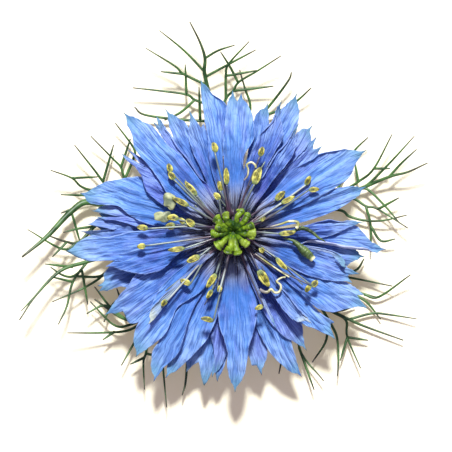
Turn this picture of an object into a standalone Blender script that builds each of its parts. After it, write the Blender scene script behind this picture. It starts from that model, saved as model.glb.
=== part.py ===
"""A double love-in-a-mist bloom (nigella flower), cut with a short stub of stem and resting face up.

The flower's middle is on the Z axis and the cut face of its stem is at z = 0. Tables are in
millimetres and degrees; azimuth is counted from +X towards +Y. Everything is scaled to metres
when its mesh is made.
"""

import math

import bpy
import numpy as np

MM = 0.001

# Driving dimensions, mm.
STEM_RADIUS = 1.2
STEM_TOP = 3.0
RECEPTACLE_RADIUS = 2.35
RECEPTACLE_FOOT = 4.0
RECEPTACLE_TOP = 9.8
CLAW_START = 2.7  # radius at which every petal begins
CLAW_HALF_WIDTH = 0.42
BLADE = 0.62  # thickness of a petal
FULL_REACH = 26.0  # radius at which the petal levels are furthest apart

# The petals lie in nested levels, counted from the lowest.
LEVEL_ROOT = 4.6  # height of level 0 at the claw
LEVEL_STEP_ROOT = 0.82
LEVEL_FALL = 0.2  # how much lower level 0 ends than it starts
LEVEL_STEP_GAIN = 0.05  # the levels spread by this much more towards the tips
ARCH = 1.6  # rise of the blades at half their length
CUP = 0.12  # how far a blade's margins stand above its midline
CUP_LEVEL = 0.4  # square of the place across the blade that keeps the level's height

# Rows of a blade from claw to edge, with the share of its half width at each.
BLADE_ROWS = ((0.0, 0.12), (0.16, 0.16), (0.33, 0.34), (0.5, 0.62), (0.67, 0.87), (0.84, 1.0), (1.0, 0.9))
SHOULDER = 0.66  # where the margin turns in towards the tip, as a share of the reach
TIP_EDGE = ((-0.5, 0.82), (-0.2, 0.91), (0.0, 1.0), (0.2, 0.91), (0.5, 0.82))
NOTCH = 0.8  # depth of the cut between two teeth, as a share of their distance
LEAST_NOTCH = 0.9
FLANK = 0.45  # how far the edge has come down from a tooth, halfway to the shoulder

# name, level, azimuth of the midline, full width, teeth as (azimuth, reach)
PETALS = (
    ("petal_01", 6, 132.2, 7.6, ((132.2, 26.9),)),
    ("petal_02", 5, 122.9, 4.2, ((122.9, 22.9),)),
    ("petal_03", 1, 118.6, 6.6, ((118.6, 23.3),)),
    ("petal_04", 2, 109.8, 7.6, ((109.8, 21.6),)),
    ("petal_05", 3, 101.5, 7.6, ((101.9, 26.2),)),
    ("petal_06", 4, 89.0, 8.6, ((90.5, 23.8), (86.4, 23.2))),
    ("petal_07", 2, 75.0, 4.8, ((74.9, 22.3),)),
    ("petal_08", 3, 69.2, 6.0, ((69.2, 23.4),)),
    ("petal_09", 0, 64.5, 8.2, ((65.1, 25.5),)),
    ("petal_10", 5, 58.5, 5.6, ((58.5, 21.2),)),
    ("petal_11", 1, 53.1, 5.0, ((53.1, 22.0),)),
    ("petal_12", 2, 45.6, 6.8, ((48.7, 20.9), (43.8, 20.6))),
    ("petal_13", 6, 31.5, 8.4, ((31.5, 26.0),)),
    ("petal_14", 5, 18.3, 7.4, ((18.3, 23.0),)),
    ("petal_15", 4, 4.3, 6.6, ((4.3, 21.3),)),
    ("petal_16", 3, -5.9, 7.0, ((-5.9, 25.4),)),
    ("petal_17", 2, -11.3, 6.0, ((-11.3, 21.4),)),
    ("petal_18", 5, -18.1, 5.6, ((-18.1, 21.9),)),
    ("petal_19", 4, -28.0, 8.2, ((-29.3, 25.3), (-25.0, 24.0))),
    ("petal_20", 3, -44.6, 8.2, ((-46.1, 24.6), (-41.2, 22.6))),
    ("petal_21", 2, -58.1, 7.2, ((-58.1, 22.7),)),
    ("petal_22", 1, -64.0, 6.8, ((-64.0, 26.4),)),
    ("petal_23", 0, -77.6, 4.6, ((-78.6, 24.2),)),
    ("petal_24", 5, -89.1, 8.2, ((-89.1, 26.5),)),
    ("petal_25", 0, -103.0, 6.8, ((-96.2, 24.8), (-100.7, 25.9), (-108.2, 24.6))),
    ("petal_26", 3, -114.2, 7.2, ((-114.8, 26.4),)),
    ("petal_27", 4, -118.0, 6.0, ((-117.8, 27.9),)),
    ("petal_28", 5, -128.0, 8.2, ((-128.0, 26.0),)),
    ("petal_29", 3, -148.0, 8.2, ((-148.6, 25.3),)),
    ("petal_30", 1, -157.3, 7.2, ((-157.3, 24.1),)),
    ("petal_31", 5, -172.0, 8.6, ((-164.6, 21.8), (-173.7, 27.4))),
    ("petal_32", 2, 178.0, 7.0, ((179.6, 25.4), (175.8, 23.4))),
    ("petal_33", 3, 169.1, 6.6, ((169.1, 22.3),)),
    ("petal_34", 4, 164.4, 8.2, ((165.0, 26.3),)),
    ("petal_35", 5, 144.6, 3.2, ((144.6, 23.3),)),
    ("petaloid_1", 6, -14.5, 1.8, ((-14.5, 19.3),)),
    ("petaloid_2", 6, -49.0, 2.2, ((-50.0, 19.0),)),
    ("petaloid_3", 6, -67.5, 1.7, ((-66.5, 16.7),)),
    ("petaloid_4", 6, -134.5, 1.9, ((-134.5, 20.4),)),
)

# The feathery leaves under the bloom. Each thread starts on the threads listed before it.
THREAD_ROOT_RADIUS = 0.42
THREAD_MID_RADIUS = 0.31
THREAD_TIP_RADIUS = 0.2
THREAD_ROOT_HEIGHT = 2.3
THREAD_LOW_HEIGHT = 0.5  # the leaves sag to the surface under the petals, and rise again outside them
THREAD_LOW_REACH = 15.0
THREAD_MID_REACH = 20.0
THREAD_FULL_REACH = 35.0
THREAD_LIFT_POWER = 1.3
# azimuth, and how far the threads have risen again at full reach
THREAD_LIFTS = (
    (-180, 5.2), (-145, 4.6), (-110, 3.3), (-75, 3.5), (-50, 2.5), (-29, 0.8), (-13, 4.0),
    (5, 3.9), (30, 4.6), (60, 5.5), (100, 5.5), (125, 4.1), (150, 4.8), (180, 5.2),
)
THREAD_FORK_SHARE = 0.8  # width of a branch where it leaves the thread that bears it
THREAD_STEP = 5.0  # longer stretches get a point between
BRACTS = {
    "bract_top": (
        (
            (-0.2, 1.7), (-1.2, 10.2), (-3, 18.5), (-4.3, 24.5),
            (-4.8, 27), (-4.7, 29.2), (-5.5, 31.8), (-7.2, 35.2),
        ),
        ((-4.7, 29.2), (-2.5, 30.5), (0.3, 31.4)),
        ((-4.8, 27), (-8.2, 30.5), (-12.3, 33.8)),
        ((-4.5, 26.2), (-0.8, 28.2), (3.8, 30.6)),
        ((-4.5, 24.8), (-8.3, 26.6), (-9.7, 27.9), (-14.6, 30.9)),
        ((-8.3, 26.6), (-12.1, 27)),
        ((-4, 21.5), (-6.4, 22.3), (-7.8, 23.2), (-12.2, 23.8), (-16.8, 24.3)),
        ((-7.8, 23.2), (-8, 28.2)),
        ((-6.4, 22.3), (-8.8, 20.2), (-11.5, 18.9)),
        ((-3.2, 18.7), (-8.8, 19), (-14.8, 19.8), (-16.5, 21.1)),
        ((-5.5, 18.8), (-5.7, 24.5)),
        ((-3, 18.5), (-1.2, 22.5), (0, 23.8), (1, 25.3), (4.2, 27.2), (8, 29.6)),
        ((0.8, 25.3), (-0.5, 27.8), (-2.1, 30.3)),
        ((-1.2, 22.5), (-1.2, 26.3), (-0.7, 28.3), (2.7, 32)),
        ((-1.2, 26.3), (4, 27.2)),
        ((0, 23.8), (6.8, 24.6)),
        ((-1.2, 10.2), (1.2, 15.8), (2.9, 20.8), (2, 24.2), (1.1, 27.3)),
        ((1.2, 15.8), (6, 21.2), (9.2, 25.4), (9.8, 26.9)),
        ((4.5, 19.5), (8.5, 20.8), (10.8, 22.2), (13.1, 24.3)),
    ),
    "bract_right": (
        ((1.6, 0.7), (9.5, 4.3), (17.2, 6.2), (21, 7.3), (26.1, 9.4), (29.2, 10.2), (32.5, 11.7)),
        ((26.1, 9.4), (28.2, 11.7), (30.7, 14)),
        ((21, 7.3), (22.8, 8.3), (26.5, 12), (30.3, 16.2)),
        ((17.2, 6.2), (21, 8.6), (23.6, 10.8), (26.6, 16.5)),
        ((23.6, 10.8), (26.3, 10.8)),
        ((21, 8.6), (20.4, 11.9)),
        ((17.2, 6.2), (18.8, 10.5), (20.3, 13.7), (22.6, 16)),
        ((21, 7.3), (22.6, 7.3), (25.5, 4.5), (27.8, 1.8)),
        ((17.2, 6.2), (20.2, 5.8), (22.3, 4.5), (24.3, 4), (29.3, 0.8)),
        ((9.5, 4.3), (17.6, 3.9), (19.5, 2.8), (22.2, 2.1), (25.2, 2.1), (29.1, 3)),
        ((24.3, 4), (27.8, 5.9)),
        ((22.3, 4.5), (23.1, 1.2), (23.1, -3.2)),
        ((23.1, 1.2), (24.8, -1.3), (27.2, -1)),
    ),
    "bract_lower_right": (
        ((1.2, -1.3), (8.2, -6.5), (14.2, -11.5), (16.8, -13.2), (19.5, -14.5), (22.2, -15.7), (28.6, -18)),
        ((14.2, -11.5), (17.5, -13), (20.5, -12.3)),
        ((19.5, -14.5), (23.3, -13.5), (26.2, -13.7), (30.8, -14.4)),
        ((14.2, -11.5), (19.2, -9.8), (24.3, -10.8)),
        ((19.2, -9.8), (22.3, -11.5), (24.8, -14.5)),
        ((22, -10.3), (24.5, -10.7), (29.7, -7)),
        ((8.2, -6.5), (16.2, -7.2), (19.7, -7.5), (26.7, -8.9)),
        ((16.2, -7.2), (20.5, -6.3), (22, -4.3)),
        ((16.8, -13.2), (19, -14.7), (19.2, -17.5), (21.4, -22.7)),
        ((19.2, -17.5), (22.7, -18)),
        ((19.2, -17.5), (18, -21.4)),
        ((14.2, -11.5), (16.7, -15.7), (17.5, -17.8), (17.7, -21.3), (17.5, -24)),
        ((15.4, -13.4), (15.7, -17.8), (13.3, -21.7)),
        ((8.2, -6.5), (11.2, -11.2), (11.1, -19.2), (15.2, -24.8)),
        ((11.1, -19.2), (13.6, -26.3)),
        ((11.2, -11.2), (8.8, -18.7), (7.7, -23.6)),
    ),
    "bract_lower_left": (
        ((-0.9, -1.6), (-7.2, -9.5), (-13.8, -13.8), (-18, -14.5), (-23.2, -11.1)),
        ((-13.8, -13.8), (-17.3, -15.4), (-20, -15.4), (-23.9, -11.5)),
        ((-18, -14.5), (-20.5, -12.5), (-23.2, -9)),
        ((-17.7, -14.4), (-19.5, -9.3)),
        ((-13.8, -13.8), (-17.2, -16.2), (-21.5, -16.7), (-27.7, -16.7)),
        ((-19.8, -16.5), (-21.8, -17.9)),
        ((-13.8, -13.8), (-16.2, -17.8), (-18.7, -22.2)),
        ((-13.8, -13.8), (-14.5, -19.7), (-15, -21.7), (-14.8, -26.2)),
        ((-14.7, -20.8), (-17.2, -22)),
        ((-14.5, -20.2), (-12.8, -20.8), (-13.3, -22.2)),
        ((-7.2, -9.5), (-11.7, -20.3), (-11.7, -22.7), (-11.1, -29.2)),
        ((-7.2, -9.5), (-7.8, -23.6), (-8.5, -27.2)),
    ),
    "bract_left": (
        (
            (-1.7, 0.3), (-10.5, 2.5), (-17.5, 3.2), (-22.3, 1.8),
            (-25.7, -1.5), (-27.8, -1.5), (-30.7, -0.5),
        ),
        ((-17.5, 3.2), (-24, 5.2), (-27.2, 3.5), (-31, -0.5), (-35.2, -4)),
        ((-31, -0.5), (-33.5, -2.7)),
        ((-27.8, -1.5), (-30.2, -4)),
        ((-26, -1.5), (-28.5, -2.7), (-34.3, 0.6)),
        ((-10.5, 2.5), (-18.8, -2.8), (-24.4, -4.8), (-28.8, -6.3), (-32.8, -10.3), (-35.6, -14.5)),
        ((-31.8, -9.2), (-35.3, -13)),
        ((-26.8, -5.7), (-31.4, -5.2)),
        ((-24.4, -4.8), (-26.8, -8.2), (-27.8, -12.3), (-29.2, -15.3)),
        ((-26.8, -8.2), (-30.5, -7.3)),
        ((-25.3, -6.2), (-24.3, -12)),
        ((-18.8, -2.8), (-21, -6.3), (-24.4, -8.9), (-30.2, -11.5)),
        ((-17.5, 3.2), (-21.5, 6.2), (-25.3, 7.7), (-27, 9.2), (-30.5, 10.5)),
        ((-27, 9.2), (-22.7, 9.4)),
        ((-17.5, 3.2), (-21.8, 8.6), (-23.2, 10.5), (-26.5, 14.7)),
        ((-10.5, 2.5), (-16.8, 6.2), (-18.2, 9), (-18.8, 11), (-20.2, 12.5), (-23.8, 16.2)),
        ((-18.8, 11), (-17.2, 15.8)),
        ((-21.8, 8.6), (-20, 14.8)),
        ((-18.2, 9), (-16.7, 12.5), (-16.7, 14.3), (-19.7, 18.4)),
        ((-21.5, 6.2), (-28.8, 6.4)),
        ((-24, 5.2), (-28.8, 3.3)),
    ),
}

# Stamens.
COLLAR_INNER = 2.25
COLLAR_OUTER = 3.0
COLLAR_FOOT = 10.3
COLLAR_TOP = 11.0
FILAMENT_RADIUS = 0.26
FILAMENT_RISE = ((2.65, 10.7), (4.0, 11.7), (6.2, 12.3))  # radius and height
ANTHER_HEIGHT = 12.6
ANTHER_SWAY = 0.25  # how far single anthers stand above or below that
ANTHER_SWAY_STEP = 2.4  # turn of the sway from one anther to the next, radians
FILAMENT_REST = 1.5  # least length of the last stretch of a filament
ANTHER_RADIUS = 0.5
ANTHER_SHAPE = ((-1.0, 0.35), (-0.6, 1.0), (0.6, 0.9), (1.0, 0.3))  # place along it, share of the radius
# x and y of the anther's middle, heading of its length in plan, and the length
ANTHERS = (
    (-10.3, 9.8, 136, 2.0), (-7.0, 7.4, 133, 2.6), (-8.7, 5.2, 156, 2.6), (-9.9, 2.3, 160, 2.0),
    (-8.2, 1.9, 170, 2.2), (-14.9, 0.8, 177, 1.8), (-9.1, -2.6, 187, 2.8), (-15.2, -2.2, 188, 1.4),
    (-6.5, -4.2, 213, 2.2), (-7.9, -8.1, 226, 1.4), (-11.2, -11.4, 225, 1.8), (-3.5, -7.9, 236, 2.4),
    (-3.6, -10.4, 251, 2.0), (-4.2, -14.1, 254, 2.0), (4.3, -12.2, 289, 1.4), (4.7, -8.2, 317, 2.4),
    (6.4, -9.8, 303, 2.0), (7.9, -8.3, 314, 2.0), (8.1, -5.0, 317, 2.4), (13.0, -8.7, 326, 2.0),
    (13.2, -3.5, 345, 2.0), (10.3, -1.5, 352, 2.6), (9.6, 0.4, 2, 2.2), (9.4, 2.0, 10, 2.4),
    (7.8, 6.0, 38, 2.0), (9.2, 5.2, 30, 2.0), (12.3, 8.7, 35, 2.0), (13.6, 7.0, 28, 2.0),
    (4.0, 9.3, 67, 2.8), (4.8, 13.7, 71, 1.8), (3.0, 11.6, 75, 1.6), (-1.1, 9.6, 92, 2.4),
    (-2.1, 7.6, 105, 2.0), (-3.2, 5.8, 119, 1.8), (-3.0, 14.0, 102, 2.0),
)

# Pistil.
OVARY = ((0.0, 10.0), (1.85, 10.0), (1.9, 11.6), (1.6, 13.2), (0.9, 14.0), (0.0, 14.2))
STYLE_FOOT = (0.7, 13.3)  # radius and height
STYLE_BEND = (1.5, 15.0)
STYLE_RADIUS = 0.38
STYLE_CREST = 0.25  # how far a style arches above the line from its bend to its end
STYLE_TIP = 0.4  # length of its rounded end
STYLE_END = 0.5  # width of its very end, as a share of the tip's
# azimuth, radius and height of the end, radius of its rounded tip
STYLES = (
    (143, 3.9, 15.4, 0.45), (105, 3.5, 15.7, 0.62), (62, 4.2, 15.3, 0.45), (27, 3.2, 15.8, 0.5),
    (0, 3.9, 15.2, 0.55), (-45, 2.8, 15.8, 0.5), (-79, 3.4, 15.2, 0.5), (-107, 3.2, 15.7, 0.5),
    (-142, 3.1, 15.4, 0.7), (180, 3.1, 15.8, 0.5),
)

LATHE_SIDES = 18

GREEN = (0.11, 0.22, 0.05)
LEAF_GREEN = (0.10, 0.20, 0.06)
PETAL_BLUE = (0.16, 0.34, 0.80)
STAMEN_OLIVE = (0.42, 0.40, 0.10)
PISTIL_LIME = (0.25, 0.42, 0.06)


def clear_scene():
    for obj in list(bpy.data.objects):
        bpy.data.objects.remove(obj, do_unlink=True)


def make_object(name, points, faces, colour):
    """A mesh object from points in millimetres."""
    mesh = bpy.data.meshes.new(name)
    mesh.from_pydata([[c * MM for c in p] for p in points], [], [list(f) for f in faces])
    mesh.update()
    obj = bpy.data.objects.new(name, mesh)
    bpy.context.scene.collection.objects.link(obj)
    material = bpy.data.materials.new(name)
    material.use_nodes = True
    shader = material.node_tree.nodes["Principled BSDF"]
    shader.inputs["Base Color"].default_value = (*colour, 1.0)
    shader.inputs["Roughness"].default_value = 0.6
    mesh.materials.append(material)
    return obj


def polar(azimuth, radius):
    angle = math.radians(azimuth)
    return radius * math.cos(angle), radius * math.sin(angle)


def level_height(level, reach):
    """Height of a petal level at a distance from the middle of the flower."""
    share = (reach - CLAW_START) / (FULL_REACH - CLAW_START)
    root = LEVEL_ROOT + LEVEL_STEP_ROOT * level
    slope = LEVEL_STEP_GAIN * level - LEVEL_FALL
    return root + slope * share + ARCH * math.sin(math.pi * min(share, 1.0))


def edge_of(azimuth, half_width, teeth):
    """The outer edge from one shoulder to the other, as (share of the half width, distance)."""
    last_width = half_width * BLADE_ROWS[-1][1]
    found = []
    for tooth_azimuth, reach in teeth:
        aside = math.radians(tooth_azimuth - azimuth)
        found.append((reach * math.sin(aside) / last_width, reach * math.cos(aside)))
    found.sort()
    shoulder = SHOULDER * max(reach for _, reach in found)
    if len(found) == 1:
        middle, reach = found[0]
        inner = [(middle + u, share * reach) for u, share in TIP_EDGE]
    else:
        inner = [found[0]]
        for (u0, s0), (u1, s1) in zip(found, found[1:]):
            notch = max(LEAST_NOTCH, NOTCH * (u1 - u0) * last_width)
            inner += [((u0 + u1) / 2, min(s0, s1) - notch), (u1, s1)]
        if len(found) == 2:
            u0, s0 = found[0]
            u1, s1 = found[-1]
            inner.insert(0, ((u0 - 1) / 2, shoulder + FLANK * (s0 - shoulder)))
            inner.append(((u1 + 1) / 2, shoulder + FLANK * (s1 - shoulder)))
    return [(-1.0, shoulder), *inner, (1.0, shoulder)]


def petal(name, level, azimuth, width, teeth):
    """A flat-lying blade on a narrow claw, cupped across and toothed at its outer edge."""
    half_width = width / 2
    edge = edge_of(azimuth, half_width, teeth)
    turn = math.radians(azimuth)

    def surface(u, distance, share):
        wide = max(np.interp(share, *zip(*BLADE_ROWS)) * half_width, CLAW_HALF_WIDTH)
        along = CLAW_START + (distance - CLAW_START) * share
        aside = u * wide
        height = level_height(level, math.hypot(along, aside)) + CUP * share * (u * u - CUP_LEVEL)
        return np.array((
            along * math.cos(turn) - aside * math.sin(turn),
            along * math.sin(turn) + aside * math.cos(turn),
            height,
        ))

    top, bottom = [], []
    nudge = 0.01
    for share, _ in BLADE_ROWS:
        for u, distance in edge:
            here = surface(u, distance, share)
            across = surface(u + nudge, distance, share) - surface(u - nudge, distance, share)
            outward = surface(u, distance, share + nudge) - surface(u, distance, share - nudge)
            normal = np.cross(outward, across)
            normal *= BLADE / 2 / np.linalg.norm(normal)
            top.append(here + normal)
            bottom.append(here - normal)
    columns, rows = len(edge), len(BLADE_ROWS)
    under = len(top)
    faces = []
    for j in range(rows - 1):
        for i in range(columns - 1):
            a, b = j * columns + i, j * columns + i + 1
            c, d = a + columns, b + columns
            for x, y, z in ((a, c, d), (a, d, b)):
                faces += [(x, y, z), (under + x, under + z, under + y)]
    rim = [i for i in range(columns)]
    rim += [j * columns + columns - 1 for j in range(1, rows)]
    rim += [(rows - 1) * columns + i for i in range(columns - 2, -1, -1)]
    rim += [j * columns for j in range(rows - 2, 0, -1)]
    for a, b in zip(rim, rim[1:] + rim[:1]):
        faces += [(a, b, under + b), (a, under + b, under + a)]
    return make_object(name, top + bottom, faces, PETAL_BLUE)


def lathe(name, profile, colour):
    """A solid of revolution about Z from (radius, height) pairs, closed where they meet the axis."""
    points, rings = [], []
    for radius, height in profile:
        if radius == 0:
            rings.append([len(points)] * LATHE_SIDES)
            points.append((0, 0, height))
        else:
            rings.append(list(range(len(points), len(points) + LATHE_SIDES)))
            points += [(*polar(360 * k / LATHE_SIDES, radius), height) for k in range(LATHE_SIDES)]
    faces = []
    for low, high in zip(rings, rings[1:] + ([rings[0]] if profile[0][0] > 0 else [])):
        for k in range(LATHE_SIDES):
            n = (k + 1) % LATHE_SIDES
            corners = [low[k], low[n], high[n], high[k]]
            corners = [c for i, c in enumerate(corners) if c != corners[i - 1]]
            faces += [(corners[0], corners[i], corners[i + 1]) for i in range(1, len(corners) - 1)]
    return make_object(name, points, faces, colour)


def tube(name, centres, radii, sides, colour):
    """A round bar through the centres, closed at both ends."""
    centres = [np.array(c, float) for c in centres]
    points, faces = [], []
    for i, centre in enumerate(centres):
        ahead = centres[min(i + 1, len(centres) - 1)] - centres[max(i - 1, 0)]
        ahead /= np.linalg.norm(ahead)
        level = np.cross(ahead, (0, 0, 1))
        level /= np.linalg.norm(level)
        upright = np.cross(level, ahead)
        for k in range(sides):
            angle = math.radians(90 + 360 * k / sides)
            points.append(centre + radii[i] * (math.cos(angle) * level + math.sin(angle) * upright))
    for i in range(len(centres) - 1):
        for k in range(sides):
            a, b = i * sides + k, i * sides + (k + 1) % sides
            faces += [(a, b + sides, b), (a, a + sides, b + sides)]
    last = (len(centres) - 1) * sides
    for k in range(1, sides - 1):
        faces += [(0, k, k + 1), (last, last + k + 1, last + k)]
    return make_object(name, points, faces, colour)


def fuse(name, pieces):
    """Joins the pieces into the first by one union, and names it."""
    body, others = pieces[0], pieces[1:]
    body.name = name
    body.data.name = name
    group = bpy.data.collections.new(name + "_pieces")
    bpy.context.scene.collection.children.link(group)
    for piece in others:
        bpy.context.scene.collection.objects.unlink(piece)
        group.objects.link(piece)
    union = body.modifiers.new("union", "BOOLEAN")
    union.operation = "UNION"
    union.solver = "MANIFOLD"
    union.operand_type = "COLLECTION"
    union.collection = group
    bpy.context.view_layer.update()
    fused = bpy.data.meshes.new_from_object(body.evaluated_get(bpy.context.evaluated_depsgraph_get()))
    body.modifiers.clear()
    material = body.data.materials[0]
    material.name = name
    body.data = fused
    body.data.name = name
    body.data.materials.clear()
    body.data.materials.append(material)
    for piece in list(group.objects):
        bpy.data.objects.remove(piece, do_unlink=True)
    bpy.data.collections.remove(group)
    return body


def thread_height(x, y):
    """Height of the feathery threads above the surface, the same wherever two of them meet."""
    reach = math.hypot(x, y)
    if reach < THREAD_LOW_REACH:
        share = (reach - STEM_RADIUS) / (THREAD_LOW_REACH - STEM_RADIUS)
        return THREAD_ROOT_HEIGHT + (THREAD_LOW_HEIGHT - THREAD_ROOT_HEIGHT) * share
    share = (reach - THREAD_LOW_REACH) / (THREAD_FULL_REACH - THREAD_LOW_REACH)
    lift = float(np.interp(math.degrees(math.atan2(y, x)), *zip(*THREAD_LIFTS)))
    return THREAD_LOW_HEIGHT + lift * share**THREAD_LIFT_POWER


def thread_radius(x, y):
    reach = math.hypot(x, y)
    places = (STEM_RADIUS, THREAD_MID_REACH, THREAD_FULL_REACH)
    return float(np.interp(reach, places, (THREAD_ROOT_RADIUS, THREAD_MID_RADIUS, THREAD_TIP_RADIUS)))


def nearest_on(stretches, point):
    """The point of the stretches that is nearest to the given one in plan."""
    best = None
    for a, b in stretches:
        along = b[:2] - a[:2]
        share = np.clip(np.dot(point - a[:2], along) / np.dot(along, along), 0, 1)
        found = a + (b - a) * share
        gap = np.linalg.norm(found[:2] - point)
        if best is None or gap < best[0]:
            best = (gap, found)
    return best[1]


def bract(name, threads):
    """A leaf cut into threads: the first is its midrib, and the others branch off."""
    stretches, pieces = [], []
    for number, thread in enumerate(threads):
        line = [np.array((x, y, thread_height(x, y))) for x, y in thread]
        if stretches:
            line[0] = nearest_on(stretches, line[0][:2])
        full = [line[0]]
        for a, b in zip(line, line[1:]):
            parts = math.ceil(np.linalg.norm(b - a) / THREAD_STEP)
            for k in range(1, parts + 1):
                x, y = (a + (b - a) * k / parts)[:2]
                full.append(np.array((x, y, thread_height(x, y))))
        radii = [thread_radius(*p[:2]) for p in full]
        if number:
            radii[0] *= THREAD_FORK_SHARE
        radii[-1] = THREAD_TIP_RADIUS * THREAD_FORK_SHARE
        pieces.append(tube(f"{name}_{number}", full, radii, 3, LEAF_GREEN))
        stretches += list(zip(full, full[1:]))
    return fuse(name, pieces)


def stamens():
    """A low collar with arching filaments, each with a long anther across its end."""
    profile = (
        (COLLAR_OUTER, COLLAR_FOOT), (COLLAR_OUTER, COLLAR_TOP),
        (COLLAR_INNER, COLLAR_TOP), (COLLAR_INNER, COLLAR_FOOT),
    )
    pieces = [lathe("collar", profile, STAMEN_OLIVE)]
    for number, (x, y, heading, length) in enumerate(ANTHERS):
        azimuth = math.degrees(math.atan2(y, x))
        height = ANTHER_HEIGHT + ANTHER_SWAY * math.sin(ANTHER_SWAY_STEP * number)
        line = [(*polar(azimuth, radius), rise) for radius, rise in FILAMENT_RISE]
        if math.hypot(x, y) < FILAMENT_RISE[-1][0] + FILAMENT_REST:
            line.pop()
        line.append((x, y, height))
        radii = [FILAMENT_RADIUS] * len(line)
        pieces.append(tube(f"filament_{number}", line, radii, 3, STAMEN_OLIVE))
        along = np.array((*polar(heading, length / 2), 0.0))
        middle = np.array((x, y, height))
        ends = [middle + along * place for place, _ in ANTHER_SHAPE]
        radii = [ANTHER_RADIUS * share for _, share in ANTHER_SHAPE]
        pieces.append(tube(f"anther_{number}", ends, radii, 4, STAMEN_OLIVE))
    return fuse("stamens", pieces)


def pistil():
    """A swollen ovary crowned by styles that bend outwards."""
    pieces = [lathe("ovary", OVARY, PISTIL_LIME)]
    for number, (azimuth, radius, height, tip) in enumerate(STYLES):
        line = [
            (*polar(azimuth, STYLE_FOOT[0]), STYLE_FOOT[1]),
            (*polar(azimuth, STYLE_BEND[0]), STYLE_BEND[1]),
            (*polar(azimuth, (STYLE_BEND[0] + radius) / 2), (STYLE_BEND[1] + height) / 2 + STYLE_CREST),
            (*polar(azimuth, radius - STYLE_TIP), height),
            (*polar(azimuth, radius), height),
        ]
        radii = (STYLE_RADIUS, STYLE_RADIUS, STYLE_RADIUS, tip, tip * STYLE_END)
        pieces.append(tube(f"style_{number}", line, radii, 5, PISTIL_LIME))
    return fuse("pistil", pieces)


def stem():
    profile = (
        (0.0, 0.0), (STEM_RADIUS, 0.0), (STEM_RADIUS, STEM_TOP),
        (RECEPTACLE_RADIUS, RECEPTACLE_FOOT), (RECEPTACLE_RADIUS, RECEPTACLE_TOP), (0.0, RECEPTACLE_TOP),
    )
    return lathe("stem", profile, GREEN)


clear_scene()
stem()
for bract_name, bract_threads in BRACTS.items():
    bract(bract_name, bract_threads)
for row in PETALS:
    petal(*row)
stamens()
pistil()
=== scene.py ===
"""The looks of a double love-in-a-mist bloom, seen from above on a white surface.

Tables and shapes are in millimetres and degrees, and turn into metres when a mesh is made.
Azimuth is counted from +X towards +Y. Reach is the distance from the middle of the bloom in plan.
"""

import math

import bpy
import numpy as np
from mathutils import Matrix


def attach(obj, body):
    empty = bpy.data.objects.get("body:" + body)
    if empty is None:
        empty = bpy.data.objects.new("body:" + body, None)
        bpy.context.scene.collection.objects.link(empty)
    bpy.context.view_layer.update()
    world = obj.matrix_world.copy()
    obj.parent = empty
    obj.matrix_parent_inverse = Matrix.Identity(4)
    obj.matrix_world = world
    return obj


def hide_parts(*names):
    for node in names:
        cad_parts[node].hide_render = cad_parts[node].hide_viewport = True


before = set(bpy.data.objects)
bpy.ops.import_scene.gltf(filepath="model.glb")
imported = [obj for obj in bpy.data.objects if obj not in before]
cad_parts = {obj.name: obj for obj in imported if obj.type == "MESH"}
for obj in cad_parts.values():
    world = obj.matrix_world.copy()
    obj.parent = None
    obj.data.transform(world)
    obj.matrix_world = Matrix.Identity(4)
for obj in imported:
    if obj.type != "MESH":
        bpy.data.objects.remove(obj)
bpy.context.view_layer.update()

MM = 0.001
RANDOM = np.random.default_rng(7)

# ---- the bloom's build, with the part's values
STEM_RADIUS = 1.2
CLAW_START = 2.7
CLAW_HALF_WIDTH = 0.42
FULL_REACH = 26.0
LEVEL_ROOT = 4.6
LEVEL_STEP_ROOT = 0.82
LEVEL_FALL = 0.2
LEVEL_STEP_GAIN = 0.05
ARCH = 1.6
CUP = 0.12
# and with values that the part doesn't have
SHOULDER = 1.5  # how far the claws of the uppermost level arch up round the pistil
OUTER_LIFT = 1.2  # how far the outer half of the lowest level rises towards the levels above it
FAN_DEPTH = 6.0  # how far behind the middle the veins of a petal seem to start

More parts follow.
